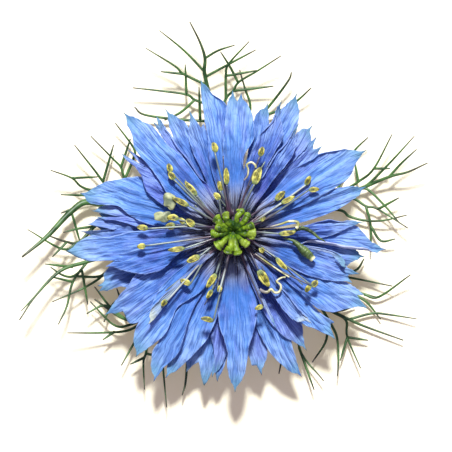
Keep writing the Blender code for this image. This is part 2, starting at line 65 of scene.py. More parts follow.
# Each blade: node, level, azimuth of its claw, kind of blue; then three parts of its outline, with
# the azimuth and reach of each point: the left margin upwards; the teeth with the notches between;
# the right margin upwards; then its curled margins, if it has any, each as side, from, to, width
# and turn in degrees. From and to are shares of the length. Left is the side of greater azimuth.
PETALS = """
petal_01 6 132.2 light;
156,9 151,12 144.5,15 141.2,18.2 140.8,20 139.8,21.8 138.6,22.4 136.1,23.6 134.3,25.2;
132.2,27.1;
122.5,12 123.5,15 126,17.5 126.8,18.4 126.5,20 127.1,22.2 128.7,23.6 130.5,25.4;
left 0.6 0.95 0.7 110

petal_02 5 122.9 violet;
127.5,12 127.2,15 126.8,18.4 126.4,20 126.1,21.6;
125.6,23 124.9,21.6 123.4,23.3;
118,12 119.3,15 121,17.6 121.2,20 121.8,21.6 122.6,22.6;
right 0.25 0.97 0.8 170

petal_03 1 118.6 mid;
124.5,13 123,17 121.2,20.2 119.8,21.8;
118.6,23.6;
112,13 112.5,17 113.4,20 115,20.9 116.6,22

petal_04 2 109.8 mid;
116.5,12 116.5,15 114.5,18 111.8,19.4 110.6,20.4;
109.7,21.8 108.5,20 107,18.3 105.2,18.9;
104.2,12 103.8,15 104.2,17.5

petal_05 3 101.5 light;
108.5,12 106.5,14.5 104.7,16.2 104.3,17.8 104,20 103.4,22.2 102.6,24.6;
101.9,26.3;
93.5,12 92.3,15 91.5,18 92.2,20.4 93.2,21.4 96,22.8 99.1,24.2 100.8,25.2;
right 0.72 0.97 0.8 120

petal_06 4 89 light;
97.5,12 96.5,15 94.5,18 93.3,20 92.6,21.4 91.6,22.4;
90.1,23.9 89.2,22.5 88.2,21.8 87.5,22.4 86.7,23.3;
79.5,12 78.8,14.6 77.4,16.2 78.4,17.8 80.3,19.6 82.1,20.6 84.2,21.8;
right 0.3 0.6 0.9 150

petal_07 2 75 mid;
79.5,13 80,16 79.8,18.6 78.6,20.4 76.6,21.3;
75,22.4;
69.5,13 70,16 71.3,18.5 72.9,20.2 74,21.4

petal_08 3 69.2 deep;
77.5,12 76.8,14 75.5,16.2 74.4,18.2 72.4,19.4 71.5,21 70.7,22.4;
69.9,23.5;
61.8,12 61.2,15 62.6,18 65.4,19.6 67.6,20.8 69,22;
left 0.6 0.98 0.7 160;
right 0.35 0.7 0.7 130

petal_09 0 64.5 mid;
72,12 71.5,16 70.5,19 69.3,21.4 67.9,22.8 66.7,24;
65.4,25.7;
56.5,12 57,16 58,19.4 59.8,21.6 61.6,23.2 64,24.4

petal_10 5 58.5 deep;
64.5,11 64,13 62.8,15.5 61,17.8 60.2,19.6;
59,21.4 58.1,19.6 57.2,18.6 56.4,19.3;
52.8,11 52,13.5 52.4,16 54.4,18;
left 0.3 0.98 0.8 150

petal_11 1 53.1 violet;
58.5,13 58.6,16 57.8,19 56.5,20.8 55.2,21.2;
53.6,22.3;
48,13 47.6,16 48.6,19 50.4,20.4 52,20.9

petal_12 2 45.6 violet;
53,11 52.6,14 51.5,17 50.6,19 49.9,20;
49,21.3 47.6,19.8 46.2,19.3 45.3,19.8 44.3,20.8;
40,11 39,14 40.5,17 42.4,19;
left 0.4 0.95 0.7 140

petal_13 6 31.5 light;
46,9.5 46.6,11 47.3,12.6 47.3,14.6 45.7,16.6 44,17.9 43.4,19.4 40.9,21.2 38.4,22.6 34.7,24.2;
31.9,26.1;
22,10 21.5,13 22.8,16 23.7,18.4 24.8,20.4 26.7,22 29.4,23.3 30.8,24.6;
left 0.4 0.9 0.7 115

petal_14 5 18.3 light;
27.5,10 27,13 25.4,16 23.9,18.2 22.3,20.4 20.5,22;
19.2,23.4;
8.5,10 8.8,11.6 10.2,13.8 11.5,16.2 13.6,18.6 15.5,20.6 16.9,22

petal_15 4 4.3 deep;
5.5,9 6.2,12.4 8.1,14.2 8.9,16.2 6.8,18.2 5.9,20.2;
4.8,21.9;
-4,10 -4.5,13 -2,16 0.9,17.8 3.1,19.6 4.1,20.8;
left 0.5 0.9 0.6 120

petal_16 3 -5.9 lilac;
3,10 4.5,14 4.2,17 3.9,19 3.2,20.6 1.2,21.3 -0.4,21.9 -1.7,22.3 -3.7,23.1 -4.8,24.3;
-6.1,25.6;
-11.5,10 -10.8,12 -10.4,14 -10.2,16.2 -10.4,19 -10,21 -9.4,22.4 -8,24.2;
right 0.3 0.97 1.4 172

petal_17 2 -11.3 deep;
-5,12 -5,16 -6,19 -8.4,21;
-10.3,22.3;
-20,12 -19.4,15 -18,18 -16.4,19.6 -13.5,20.4 -11.3,21.6

petal_18 5 -18.1 mid;
-11.5,10 -13,12.5 -14.4,15 -14.8,17 -16.9,20 -17.3,21.1;
-17.9,22.2 -19.8,20.4 -21,20.4 -22.6,21.5;
-31,10 -30.5,12.5 -29,15 -27,17 -24.8,19 -23.4,20.2

petal_19 4 -28 light;
-20,10 -23,13 -26.5,15.4 -27.3,16.4 -25,18.2 -23.5,20.2 -24,22.2 -24.5,23.2;
-25.3,24.1 -26.6,23 -27.8,23.9 -29.3,25.8;
-42,10 -41.8,13 -41.6,15 -42.1,16.6 -41.8,18.6 -40.2,20.2 -37.7,21.4 -33.6,22.8 -31.1,23.8

petal_20 3 -44.6 light;
-34,10 -36,13 -40.5,15.5 -42.3,17.8 -42.2,20.6;
-41.4,22.5 -43,22.2 -44.3,22.7 -46.1,24.6;
-56,10 -56.5,13 -55.5,16 -53,18.6 -50.9,20.4 -49.5,21.8 -47.6,22.8;
right 0.7 0.97 0.7 130

petal_21 2 -58.1 violet;
-46,11 -47.5,14 -49.5,17 -52.3,19.4 -55.3,20.4 -56.7,21.6;
-57.9,23.1;
-69.5,11 -69,14 -66.5,17 -63.3,19.4 -60.5,20.9 -59,22;
left 0.5 0.9 0.6 140

petal_22 1 -64 light;
-53,12 -55,15.5 -58.2,18.4 -61.9,20.6 -63.1,22.6 -63.8,24.4;
-64.5,26.6;
-77,12 -76.5,15.5 -75,18 -73.4,19.8 -72.3,21.4 -69.8,23.4 -67.3,25.2

petal_23 0 -77.6 violet;
-70.5,12 -71,16 -72,18.8 -73.4,19.9 -75,21.6 -77,22.7;
-78.6,24.3 -79.8,22.4 -81.9,22.3;
-85.5,12 -85,16 -84.2,18.8 -83,20.6

petal_24 5 -89.1 light;
-71.5,9.5 -70.6,11.4 -73.5,14 -78,16.6 -82,19 -83.3,20.6 -84,21.8 -85.3,23.4 -87.1,24.8;
-89.3,26.5;
-102,10 -101.5,12.5 -98.5,15.5 -94.4,18 -92.6,19.9 -92.7,21 -92.3,22.8 -90.9,24.6

petal_25 0 -103 light;
-89,12 -90,16 -91.5,19 -93.2,21.4 -94.8,23.4;
-96.1,25 -97.5,23.2 -98.7,23.4 -99.7,25 -100.8,26 -102.4,24.6 -104.8,22.2 -106.8,23 -108.5,24.5;
-117,12 -116,16 -113.5,19 -111,21.8 -109.8,23.2

petal_25 1.2 -98 violet;
-87,10 -87.5,14 -90.5,17 -92.9,19.8 -94.8,22 -96.8,23.3;
-98.3,24.3;
-109,10 -107.5,13 -105.2,15.4 -102.9,17.2 -99.6,19.4 -98.6,21 -98.8,22.8

petal_26 3 -114.2 light;
-100,11 -100.5,14 -102.7,16.8 -103.9,18.4 -106.4,20.2 -110.4,23 -112.4,24.8;
-114.9,26.6;
-128,11 -127,14.5 -124,18 -120,21 -117.4,23 -116.2,25

petal_27 4 -118 light;
-117.5,9.5 -117,12 -116.4,14.2 -115.7,16.6 -114.4,19 -113.8,20.6 -114.1,22.6 -115.5,24 -116.9,25.2
-117.6,26.5;
-118.1,28;
-131,10 -130,13 -128,16 -125.5,19 -124.5,22.4 -124.2,23.8 -121.7,26 -119.6,27;
left 0.3 0.97 0.7 110

petal_28 5 -128 light;
-117,9 -118.5,11 -124,13.5 -126.8,15.4 -125.4,17.4 -124.1,19.4 -124.2,21 -126.1,23.2 -127.2,24.8;
-128.1,26.2;
-146,9.5 -145.5,12 -143,15 -139.5,17.5 -137.8,18.8 -137.3,20.2 -136.9,21.2 -136,22.2 -134.4,23.5 -131.9,24.7

petal_29 3 -148 mid;
-134,11 -135,15 -136,18 -136.6,20.5 -136.7,21.8 -139,22.9 -142,22.6 -144.6,22.5 -145.6,23.7;
-147.5,25.4;
-160,11 -159.5,15 -156.5,18 -153,19.6 -151.5,21.2 -149.2,23.4

petal_30 1 -157.3 mid;
-148,12 -148.6,16 -150.5,18.8 -153,20 -154.8,21 -155.4,23.2;
-156.6,24.5 -157.7,23.4 -158.6,24.3;
-168,12 -168,16 -167,19 -165,21.2 -162.2,22.6 -159.9,22.8

petal_31 5 -172 mid;
-160,9 -157,10.6 -154,12 -152.7,13.6 -154,15.4 -156.5,17 -160.2,18.8 -163.3,20.4;
-165.3,21.9 -167,20 -168.1,22 -168.9,24.4 -170.8,26 -173.8,28;
-185,9.6 -183,12 -181.6,15 -180.6,17.5 -179.4,18.8 -178.6,20 -178.4,21.4 -179,22.8 -178.4,24.2 -176.3,26

petal_32 2 178 deep;
188,12 187.5,16 184.8,19 182.4,21.5 181,23.6;
179.4,25.7 178.8,22 178.4,20 177.6,21.5 176.6,24.5;
170,12 170,16 171.3,19 172.6,21 174,22.8

petal_32 1.2 175 deep;
184,12 183,16 181.5,19 179.3,21.6;
177,23.4 175.6,22.2 174.4,22.9 173,22 171.8,22.6;
166,12 166,16 167.5,19 169.5,21.3

petal_33 3 169.1 violet;
178.5,11 178.3,14 177,16.3 175.6,18 174.6,20 174,21.8;
173.3,23.1 172.5,20.6 171.7,18.2 171.6,20.6 171.2,24;
160,11 160.5,14 163,17 166,19.8 168,22 169.6,22.9;
left 0.3 0.95 0.6 130

petal_34 4 164.4 light;
176,10 175,12.5 173.8,14.5 171,17 166.9,19.6 167.9,22.2 168.3,24.2 167.2,25.1;
165.4,26.3;
154,9.5 153,12.2 151,14.2 149.5,15.6 148.5,16.8 148.5,18 151,19.2 154.1,20.6 156.6,22 159,23.2 162.2,24.4

petal_35 5 150 violet;
159.6,9.5 159.2,12.4 157.2,14.2 155.3,15.8 152.2,17 148.5,18.2 146.4,19.8 145.4,21.8;
144.6,23.7 144,21 143.4,19 142.5,20.4 141.7,22.4 141,20 140.6,18.2 139.8,18.4;
146,9.5 144,12.4 141,15 139,16.8 138.8,17.6;
left 0.3 0.95 0.5 130

petaloid_1 6 -12 pale;
-9.8,11 -9.2,14 -9.6,16.6 -11.3,18 -14.5,19.2;
-17.2,19.6;
-11.8,11 -11.6,14 -11.8,15.8 -13.2,17.1 -15.6,18.3;
left 0.4 0.9 0.4 150

petaloid_2 6 -50 cream;
-46.5,11 -47.3,14 -48,17 -48.3,18.6;
-49.1,19.9 -50.4,18.8 -52,18.6 -54.1,18.2;
-57,11 -57,14 -56.2,16.5 -55.3,17.6;
left 0.35 0.98 0.5 160

petaloid_3 6 -66.5 pale;
-65.2,10 -64.6,12 -64.2,14 -64.5,15.6;
-65.6,17.3;
-67.4,10 -67,12.4 -66.7,14.4 -66.5,16;
left 0.4 0.95 0.4 150

petaloid_4 6.5 -136.5 husk;
-136,10 -135,13.6 -133.5,16.2 -132.7,18.2 -132.5,19.6;
-132.9,20.6;
-139,10 -138.8,13.6 -138.5,16.2 -137.8,18 -135.2,19.6;
right 0.5 0.9 0.4 120
"""

# ---- the leaves' threads
THREAD_ROOT_HEIGHT = 2.3
THREAD_LOW_HEIGHT = 0.5
THREAD_LOW_REACH = 15.0
THREAD_FULL_REACH = 35.0
THREAD_LIFT_POWER = 1.3
# azimuth, and how far the threads have risen again at full reach
THREAD_LIFTS = (
    (-180, 5.2), (-145, 4.6), (-110, 3.3), (-75, 3.5), (-50, 2.5), (-29, 0.8), (-13, 4.0),
    (5, 3.9), (30, 4.6), (60, 5.5), (100, 5.5), (125, 4.1), (150, 4.8), (180, 5.2),
)
# The threads of each leaf, one to a line, with x and y of their points. The part leaves out the
# last two of bract_lower_left and the last four of bract_left.
BRACTS = """
bract_top
-0.2,1.7 -1.2,10.2 -3,18.5 -4.3,24.5 -4.8,27 -4.7,29.2 -5.5,31.8 -7.2,35.2
-4.7,29.2 -2.5,30.5 0.3,31.4
-4.8,27 -8.2,30.5 -12.3,33.8
-4.5,26.2 -0.8,28.2 3.8,30.6
-4.5,24.8 -8.3,26.6 -9.7,27.9 -14.6,30.9
-8.3,26.6 -12.1,27
-4,21.5 -6.4,22.3 -7.8,23.2 -12.2,23.8 -16.8,24.3
-7.8,23.2 -8,28.2
-6.4,22.3 -8.8,20.2 -11.5,18.9
-3.2,18.7 -8.8,19 -14.8,19.8 -16.5,21.1
-5.5,18.8 -5.7,24.5
-3,18.5 -1.2,22.5 0,23.8 1,25.3 4.2,27.2 8,29.6
0.8,25.3 -0.5,27.8 -2.1,30.3
-1.2,22.5 -1.2,26.3 -0.7,28.3 2.7,32
-1.2,26.3 4,27.2
0,23.8 6.8,24.6
-1.2,10.2 1.2,15.8 2.9,20.8 2,24.2 1.1,27.3
1.2,15.8 6,21.2 9.2,25.4 9.8,26.9
4.5,19.5 8.5,20.8 10.8,22.2 13.1,24.3

bract_right
1.6,0.7 9.5,4.3 17.2,6.2 21,7.3 26.1,9.4 29.2,10.2 32.5,11.7
26.1,9.4 28.2,11.7 30.7,14
21,7.3 22.8,8.3 26.5,12 30.3,16.2
17.2,6.2 21,8.6 23.6,10.8 26.6,16.5
23.6,10.8 26.3,10.8
21,8.6 20.4,11.9
17.2,6.2 18.8,10.5 20.3,13.7 22.6,16
21,7.3 22.6,7.3 25.5,4.5 27.8,1.8
17.2,6.2 20.2,5.8 22.3,4.5 24.3,4 29.3,0.8
9.5,4.3 17.6,3.9 19.5,2.8 22.2,2.1 25.2,2.1 29.1,3
24.3,4 27.8,5.9
22.3,4.5 23.1,1.2 23.1,-3.2
23.1,1.2 24.8,-1.3 27.2,-1

bract_lower_right
1.2,-1.3 8.2,-6.5 14.2,-11.5 16.8,-13.2 19.5,-14.5 22.2,-15.7 28.6,-18
14.2,-11.5 17.5,-13 20.5,-12.3
19.5,-14.5 23.3,-13.5 26.2,-13.7 30.8,-14.4
14.2,-11.5 19.2,-9.8 24.3,-10.8
19.2,-9.8 22.3,-11.5 24.8,-14.5
22,-10.3 24.5,-10.7 29.7,-7
8.2,-6.5 16.2,-7.2 19.7,-7.5 26.7,-8.9
16.2,-7.2 20.5,-6.3 22,-4.3
16.8,-13.2 19,-14.7 19.2,-17.5 21.4,-22.7
19.2,-17.5 22.7,-18
19.2,-17.5 18,-21.4
14.2,-11.5 16.7,-15.7 17.5,-17.8 17.7,-21.3 17.5,-24
15.4,-13.4 15.7,-17.8 13.3,-21.7
8.2,-6.5 11.2,-11.2 11.1,-19.2 15.2,-24.8
11.1,-19.2 13.6,-26.3
11.2,-11.2 8.8,-18.7 7.7,-23.6

bract_lower_left
-0.9,-1.6 -7.2,-9.5 -13.8,-13.8 -18,-14.5 -23.2,-11.1
-13.8,-13.8 -17.3,-15.4 -20,-15.4 -23.9,-11.5
-18,-14.5 -20.5,-12.5 -23.2,-9
-17.7,-14.4 -19.5,-9.3
-13.8,-13.8 -17.2,-16.2 -21.5,-16.7 -27.7,-16.7
-19.8,-16.5 -21.8,-17.9
-13.8,-13.8 -16.2,-17.8 -18.7,-22.2
-13.8,-13.8 -14.5,-19.7 -15,-21.7 -14.8,-26.2
-14.7,-20.8 -17.2,-22
-14.5,-20.2 -12.8,-20.8 -13.3,-22.2
-7.2,-9.5 -11.7,-20.3 -11.7,-22.7 -11.1,-29.2
-7.2,-9.5 -7.8,-23.6 -8.5,-27.2
-20.5,-12.5 -22,-12.2 -24.5,-13.5
-19.1,-11 -20.6,-12.6 -21.6,-14.9

bract_left
-1.7,0.3 -10.5,2.5 -17.5,3.2 -22.3,1.8 -25.7,-1.5 -27.8,-1.5 -30.7,-0.5
-17.5,3.2 -24,5.2 -27.2,3.5 -31,-0.5 -35.2,-4
-31,-0.5 -33.5,-2.7
-27.8,-1.5 -30.2,-4
-26,-1.5 -28.5,-2.7 -34.3,0.6
-10.5,2.5 -18.8,-2.8 -24.4,-4.8 -28.8,-6.3 -32.8,-10.3 -35.6,-14.5
-31.8,-9.2 -35.3,-13
-26.8,-5.7 -31.4,-5.2
-24.4,-4.8 -26.8,-8.2 -27.8,-12.3 -29.2,-15.3
-26.8,-8.2 -30.5,-7.3
-25.3,-6.2 -24.3,-12
-18.8,-2.8 -21,-6.3 -24.4,-8.9 -30.2,-11.5
-17.5,3.2 -21.5,6.2 -25.3,7.7 -27,9.2 -30.5,10.5
-27,9.2 -22.7,9.4
-17.5,3.2 -21.8,8.6 -23.2,10.5 -26.5,14.7
-10.5,2.5 -16.8,6.2 -18.2,9 -18.8,11 -20.2,12.5 -23.8,16.2
-18.8,11 -17.2,15.8
-21.8,8.6 -20,14.8
-18.2,9 -16.7,12.5 -16.7,14.3 -19.7,18.4
-21.5,6.2 -28.8,6.4
-24,5.2 -28.8,3.3
-25.3,-6.2 -26.9,-7.3 -28.6,-7 -30.5,-5.7
-26.9,-7.2 -22.6,-7.3 -21,-6.1
-23.2,1.1 -26,0.7 -28.4,0.1
-27,3.4 -26.2,0.6 -25.6,-1.5
"""
# how much thicker than its leaf's other threads a stalk is, by its place in the list, from 0
STALKS = {"bract_left": {1: 2.4, 5: 1.5}, "bract_top": {0: 1.15}}
THREAD_WIDTHS = ((1.2, 0.42), (20, 0.35), (30, 0.31), (36, 0.22))  # reach, radius

ANTHER_HEIGHT = 12.4
# x and y of the anther's middle, heading of its length in plan, length, bend in degrees, width
ANTHERS = """
-10.5,10.8,110,1.4,0,1 -10.2,9.5,125,1.4,30,1.1 -7,7.4,131,2.8,0,1 -8.7,5.2,153,2.8,0,1
-10,2.5,170,1.8,60,1.1 -8.5,2,140,1.3,40,0.9 -7.1,1.7,140,1.6,0,1.2 -10.4,1.2,190,1.5,-40,1.2
-15,0.9,170,1.7,0,1 -9.4,-2.7,187,2.6,0,0.9 -15.2,-2.2,188,1.3,0,1 -6.6,-4.3,204,2.2,0,1.1
-7.9,-8.1,155,1.7,20,1 -11.4,-11.6,225,1.2,50,0.9 -3.6,-7.9,236,2.6,0,1.1 -3.9,-10.1,236,1.6,0,0.8
-2.2,-9.2,80,1.1,0,0.8 -4.3,-14.3,165,2,30,0.9 4.3,-12.3,200,1.4,0,0.8 5.1,-7.5,303,3,0,1.5
8,-5.1,312,2.5,20,0.9 4.8,-2.8,300,0.9,60,0.9 12.4,-9.2,232,1.3,30,0.9 13.5,-8.3,40,1.2,60,1.1
9,0,6,2.6,10,0.9 4.9,2.4,40,1,0,0.8 7.8,6.2,44,2,0,1.1 9.1,5.5,27,2.3,0,0.9 12.4,8.7,62,1.6,0,0.9
13.4,7.2,5,1.6,0,0.9 4,9.5,70,2.8,-20,1.5 4.7,13.5,71,1.5,0,1 -1.1,9.4,92,2.6,0,1 -2.2,7.8,100,1.6,70,1
-2.7,6.1,130,1.3,40,1 -3.1,14.2,102,1.6,60,1.1
"""
# pale curled ends of stamens: points in plan, radius at the foot and at the tip
HOOKS = (
    (((1.8, 8.7), (2.4, 9.5), (2.5, 10.5), (2.3, 11.3), (3, 11.7), (3.6, 11.3), (3.8, 10.8)), 0.14, 0.2),
    (((4.4, -9.3), (5.2, -9.75), (5.8, -9.7), (6.3, -9.3), (6.8, -9.8), (7.5, -9.8), (7.9, -9.2),
      (7.8, -8.5), (7.2, -8), (8, -7.4), (8.7, -7.3)), 0.26, 0.14),
    (((6.1, 1), (7.95, 1.5), (9.1, 1.9), (10.2, 1.95), (10.75, 1.7), (10.7, 1.1), (10.4, 0.8)), 0.16, 0.3),
    (((3.6, -3.4), (6, -5.1), (8.5, -6.8), (9.3, -7.3)), 0.15, 0.12),
)
# stunted green carpels: points in plan and the radius at each
PODS = (
    ((8.4, -0.8, 0.14), (9.8, -1.2, 0.2), (10.2, -1.5, 0.4), (10.9, -2.1, 0.5), (11.7, -2.9, 0.78),
     (12.5, -3.6, 0.68), (13, -4.1, 0.55), (13.3, -4.4, 0.5)),
    ((8.6, -0.2, 0.2), (10.2, 0.4, 0.26), (11.6, 0.8, 0.36), (13, 0.2, 0.3), (14.2, -0.8, 0.2),
     (15.3, -1.4, 0.1)),
)
HUSKS = ((-10.4, 5.1, 1, 1.2), (-11.6, 2.8, 1.2, 0.8))  # crumpled scales: x, y, half length, half width

# azimuth, radius and height of the end, radius of its rounded tip
STYLES = (
    (139, 3.8, 15.2, 0.72), (112, 3.5, 15.6, 0.56), (69, 4.1, 15, 0.5), (50, 4, 15.3, 0.54),
    (22, 3.5, 15.7, 0.56), (0, 3.5, 15.3, 0.8), (-40, 3, 15.7, 0.62), (-78, 3.5, 15.1, 0.64),
    (-105, 3.3, 15.5, 0.66), (-140, 3.4, 15.2, 0.8), (182, 3.5, 14.9, 0.64), (161, 2.9, 15.7, 0.5),
)


def read_numbers(text):
    """The groups of numbers in the text, as tuples. Commas join a group and blanks part the groups."""
    return [tuple(map(float, group.split(","))) for group in text.split()]


def read_petals(table):
    """The blades in the table, each as petal() takes it."""
    for row in table.strip().split("\n\n"):
        head, left, teeth, right, *curls = row.split(";")
        node, level, azimuth, kind = head.split()
        curls = [(side, *map(float, rest)) for side, *rest in (curl.split() for curl in curls)]
        margins = [read_numbers(part) for part in (left, teeth, right)]
        yield node, float(level), float(azimuth), kind, *margins, curls


def read_bracts(table):
    """The name of each leaf and its threads."""
    for row in table.strip().split("\n\n"):
        name, *threads = row.split("\n")
        yield name, [read_numbers(thread) for thread in threads]


# ---- meshes

def polar(azimuth, radius):
    angle = math.radians(azimuth)
    return radius * math.cos(angle), radius * math.sin(angle)


def smooth_step(x, low, high):
    t = np.clip((x - low) / (high - low), 0, 1)
    return t * t * (3 - 2 * t)


class Builder:
    """Collects vertices, faces and a map of one piece, in millimetres."""

    def __init__(self):
        self.points, self.faces, self.uv, self.count = [], [], [], 0

    def grid(self, points, uv, wrap=False):
        """A sheet of quads over points[row, column], closed round the columns if wrap is set."""
        rows, columns = points.shape[:2]
        start = self.count
        self.points.append(points.reshape(-1, 3))
        self.uv.append(uv.reshape(-1, 2))
        self.count += rows * columns
        j, i = np.meshgrid(np.arange(rows - 1), np.arange(columns - (not wrap)), indexing="ij")
        n = (i + 1) % columns
        a, b = start + j * columns + i, start + j * columns + n
        c, d = start + (j + 1) * columns + n, start + (j + 1) * columns + i
        self.faces += np.stack([a, b, c, d], -1).reshape(-1, 4).tolist()
        return start + np.arange(rows * columns).reshape(rows, columns)

    def make(self, name, material):
        mesh = bpy.data.meshes.new(name)
        mesh.from_pydata((np.concatenate(self.points) * MM).tolist(), [], self.faces)
        layer = mesh.uv_layers.new(name="Map")
        corners = np.empty(len(mesh.loops), np.int32)
        mesh.loops.foreach_get("vertex_index", corners)
        layer.data.foreach_set("uv", np.concatenate(self.uv)[corners].astype(np.float32).ravel())
        mesh.materials.append(material)
        mesh.shade_smooth()
        mesh.validate()
        obj = bpy.data.objects.new(name, mesh)
        bpy.context.scene.collection.objects.link(obj)
        return obj


def sweep(build, path, radii, sides=8, shade=0.5):
    """A round bar along the path with closed ends. Its map runs 0 to 1 along it at x = shade."""
    path = np.asarray(path, float)
    radii = np.broadcast_to(np.asarray(radii, float), len(path))
    tangent = np.gradient(path, axis=0)
    tangent /= np.linalg.norm(tangent, axis=1)[:, None]
    side = np.cross(tangent[0], (0, 0, 1))
    if np.linalg.norm(side) < 1e-3:  # a path that starts straight up
        side = np.array((1, 0, 0))
    angles = np.linspace(0, 2 * math.pi, sides, endpoint=False)
    rings = []
    for centre, ahead, radius in zip(path, tangent, radii):
        side = side - ahead * np.dot(side, ahead)
        side /= np.linalg.norm(side)
        up = np.cross(side, ahead)
        rings.append(centre + radius * (np.outer(np.cos(angles), side) + np.outer(np.sin(angles), up)))
    ends = [np.repeat(path[:1], sides, 0), *rings, np.repeat(path[-1:], sides, 0)]
    points = np.array(ends)[:, ::-1]
    length = np.concatenate([[0], np.cumsum(np.linalg.norm(np.diff(path, axis=0), axis=1))])
    along = np.concatenate([[0], length / length[-1], [1]])
    uv = np.zeros((*points.shape[:2], 2))
    uv[..., 0] = shade
    uv[..., 1] = along[:, None]
    build.grid(points, uv, wrap=True)


def curve_through(points, steps):
    """A smooth line through the points (Catmull-Rom), with steps to each stretch."""
    p = np.asarray(points, float)
    p = np.concatenate([2 * p[:1] - p[1:2], p, 2 * p[-1:] - p[-2:-1]])
    out = []
    for a, b, c, d in zip(p, p[1:], p[2:], p[3:]):
        for t in np.arange(steps) / steps:
            square, cube = 2 * a - 5 * b + 4 * c - d, 3 * b - a - 3 * c + d
            out.append(0.5 * (2 * b + (c - a) * t + square * t**2 + cube * t**3))
    out.append(p[-2])
    return np.array(out)


def lathe(build, profile, sides, rib, top=0.0):
    """Turns (radius, height) points about the bloom's axis. Its map runs from 0 to top at y."""
    radii, heights = np.maximum([r for r, _ in profile], 0), [z for _, z in profile]
    angles = np.linspace(0, 2 * math.pi, sides, endpoint=False)
    points = np.stack([
        np.outer(radii, np.cos(angles) * rib(angles)),
        np.outer(radii, np.sin(angles) * rib(angles)),
        np.outer(heights, np.ones(sides)),
    ], -1)
    uv = np.zeros((*points.shape[:2], 2))
    uv[..., 1] = np.linspace(0, top, len(heights))[:, None]
    build.grid(points, uv, wrap=True)


# ---- materials

class Nodes:
    """Short hand for building a material's node tree."""

    def __init__(self, name):
        self.material = bpy.data.materials.new(name)
        self.material.use_nodes = True
        self.tree = self.material.node_tree
        self.tree.nodes.clear()

    def add(self, kind, inputs=(), **settings):
        """A new node with these values or links at its inputs."""
        node = self.tree.nodes.new("ShaderNode" + kind)
        for key, value in settings.items():
            setattr(node, key, value)
        for key, value in dict(inputs).items():
            self.put(node.inputs[key], value)
        return node

    def put(self, socket, value):
        if hasattr(value, "is_output"):
            self.tree.links.new(value, socket)
        elif isinstance(value, tuple) and len(value) == 3 and socket.type == "RGBA":
            socket.default_value = (*value, 1)
        else:
            socket.default_value = value

    def math(self, operation, a, b=0.0):
        return self.add("Math", {0: a, 1: b}, operation=operation).outputs[0]

    def times(self, a, b):
        return self.math("MULTIPLY", a, b)

    def plus(self, a, b):
        return self.math("ADD", a, b)

    def from_half(self, value):
        """How far the value lies from 0.5."""
        return self.math("ABSOLUTE", self.math("SUBTRACT", value, 0.5))

    def step(self, value, low, high, start=0.0, end=1.0):
        """Goes smoothly from start to end while the value goes from low to high."""
        node = self.add("MapRange", {0: value, 1: low, 2: high, 3: start, 4: end})
        node.interpolation_type = "SMOOTHSTEP"
        return node.outputs[0]

    def mix(self, factor, a, b):
        """Colour a where the factor is 0 and b where it is 1."""
        node = self.add("Mix", data_type="RGBA")
        self.put(node.inputs[0], factor)
        self.put(node.inputs[6], a)
        self.put(node.inputs[7], b)
        return node.outputs[2]

    def map(self):
        """(across, along) of the piece's own map."""
        uv = self.add("UVMap", uv_map="Map").outputs[0]
        parts = self.add("SeparateXYZ", {0: uv})
        return parts.outputs[0], parts.outputs[1]

    def fan(self, azimuth):
        """Where a point lies across straight lines that spread from behind a petal's claw."""
        place = self.add("SeparateXYZ", {0: self.add("TexCoord").outputs["Object"]})
        x, y = place.outputs[0], place.outputs[1]
        c, s = math.cos(math.radians(azimuth)), math.sin(math.radians(azimuth))
        along = self.plus(self.times(x, c), self.times(y, s))
        aside = self.math("SUBTRACT", self.times(y, c), self.times(x, s))
        return self.math("DIVIDE", aside, self.plus(along, FAN_DEPTH * MM))

    def noise(self, x, y, z, detail=2.0, roughness=0.5):
        """Noise over x and y. Another z gives another pattern."""
        vector = self.add("CombineXYZ", {0: x, 1: y, 2: z}).outputs[0]
        inputs = {"Vector": vector, "Scale": 1, "Detail": detail, "Roughness": roughness}
        return self.add("TexNoise", inputs).outputs["Fac"]

    def spots(self, scale, detail=2.0):
        """Noise over the place in space, with about scale spots to a metre."""
        place = self.add("TexCoord").outputs["Object"]
        inputs = {"Vector": place, "Scale": scale, "Detail": detail}
        return self.add("TexNoise", inputs).outputs["Fac"]

    def finish(self, colour, roughness, height=None, depth=0.0, glow=None, **extra):
        """Ends in a Principled shader, with light passing through where glow gives a colour."""
        inputs = {"Base Color": colour, "Roughness": roughness, **extra}
        if height is not None:
            bump = self.add("Bump", {"Height": height, "Distance": depth, "Strength": 1.0})
            inputs["Normal"] = bump.outputs[0]
        shader = self.add("BsdfPrincipled", inputs).outputs[0]
        if glow is not None:
            share, tint = glow
            through = self.add("BsdfTranslucent", {"Color": tint}).outputs[0]
            shader = self.add("MixShader", {0: share, 1: shader, 2: through}).outputs[0]
        self.add("OutputMaterial", {0: shader})
        return self.material


PETAL_BLUES = {  # outer half, inner half, veins
    "light": ((0.15, 0.35, 0.78), (0.06, 0.2, 0.62), (0.03, 0.11, 0.4)),
    "mid": ((0.125, 0.28, 0.71), (0.05, 0.165, 0.56), (0.022, 0.08, 0.33)),
    # a darker blue, partly the petal's own tone and partly painted shade from the petals above it
    "deep": ((0.085, 0.19, 0.6), (0.038, 0.1, 0.43), (0.016, 0.042, 0.22)),
    "violet": ((0.185, 0.28, 0.73), (0.08, 0.155, 0.57), (0.04, 0.07, 0.34)),
    "lilac": ((0.18, 0.34, 0.75), (0.065, 0.19, 0.6), (0.03, 0.1, 0.39)),
    "pale": ((0.33, 0.4, 0.56), (0.2, 0.27, 0.48), (0.07, 0.11, 0.26)),
    "cream": ((0.17, 0.31, 0.68), (0.08, 0.18, 0.56), (0.04, 0.1, 0.3)),
    "husk": ((0.42, 0.5, 0.52), (0.08, 0.18, 0.56), (0.1, 0.16, 0.2)),
}
PALE_RIDGE_AND_HIGHLIGHT = (0.3, 0.48, 0.86)  # pale ridges between the veins, and painted highlight patches on the outer half
PAINTED_RIM_HIGHLIGHT = (0.33, 0.48, 0.88)  # painted highlight along the rims
PALE_END = (0.33, 0.46, 0.66)  # outer ends
BACK = (0.2, 0.31, 0.66)  # undersides
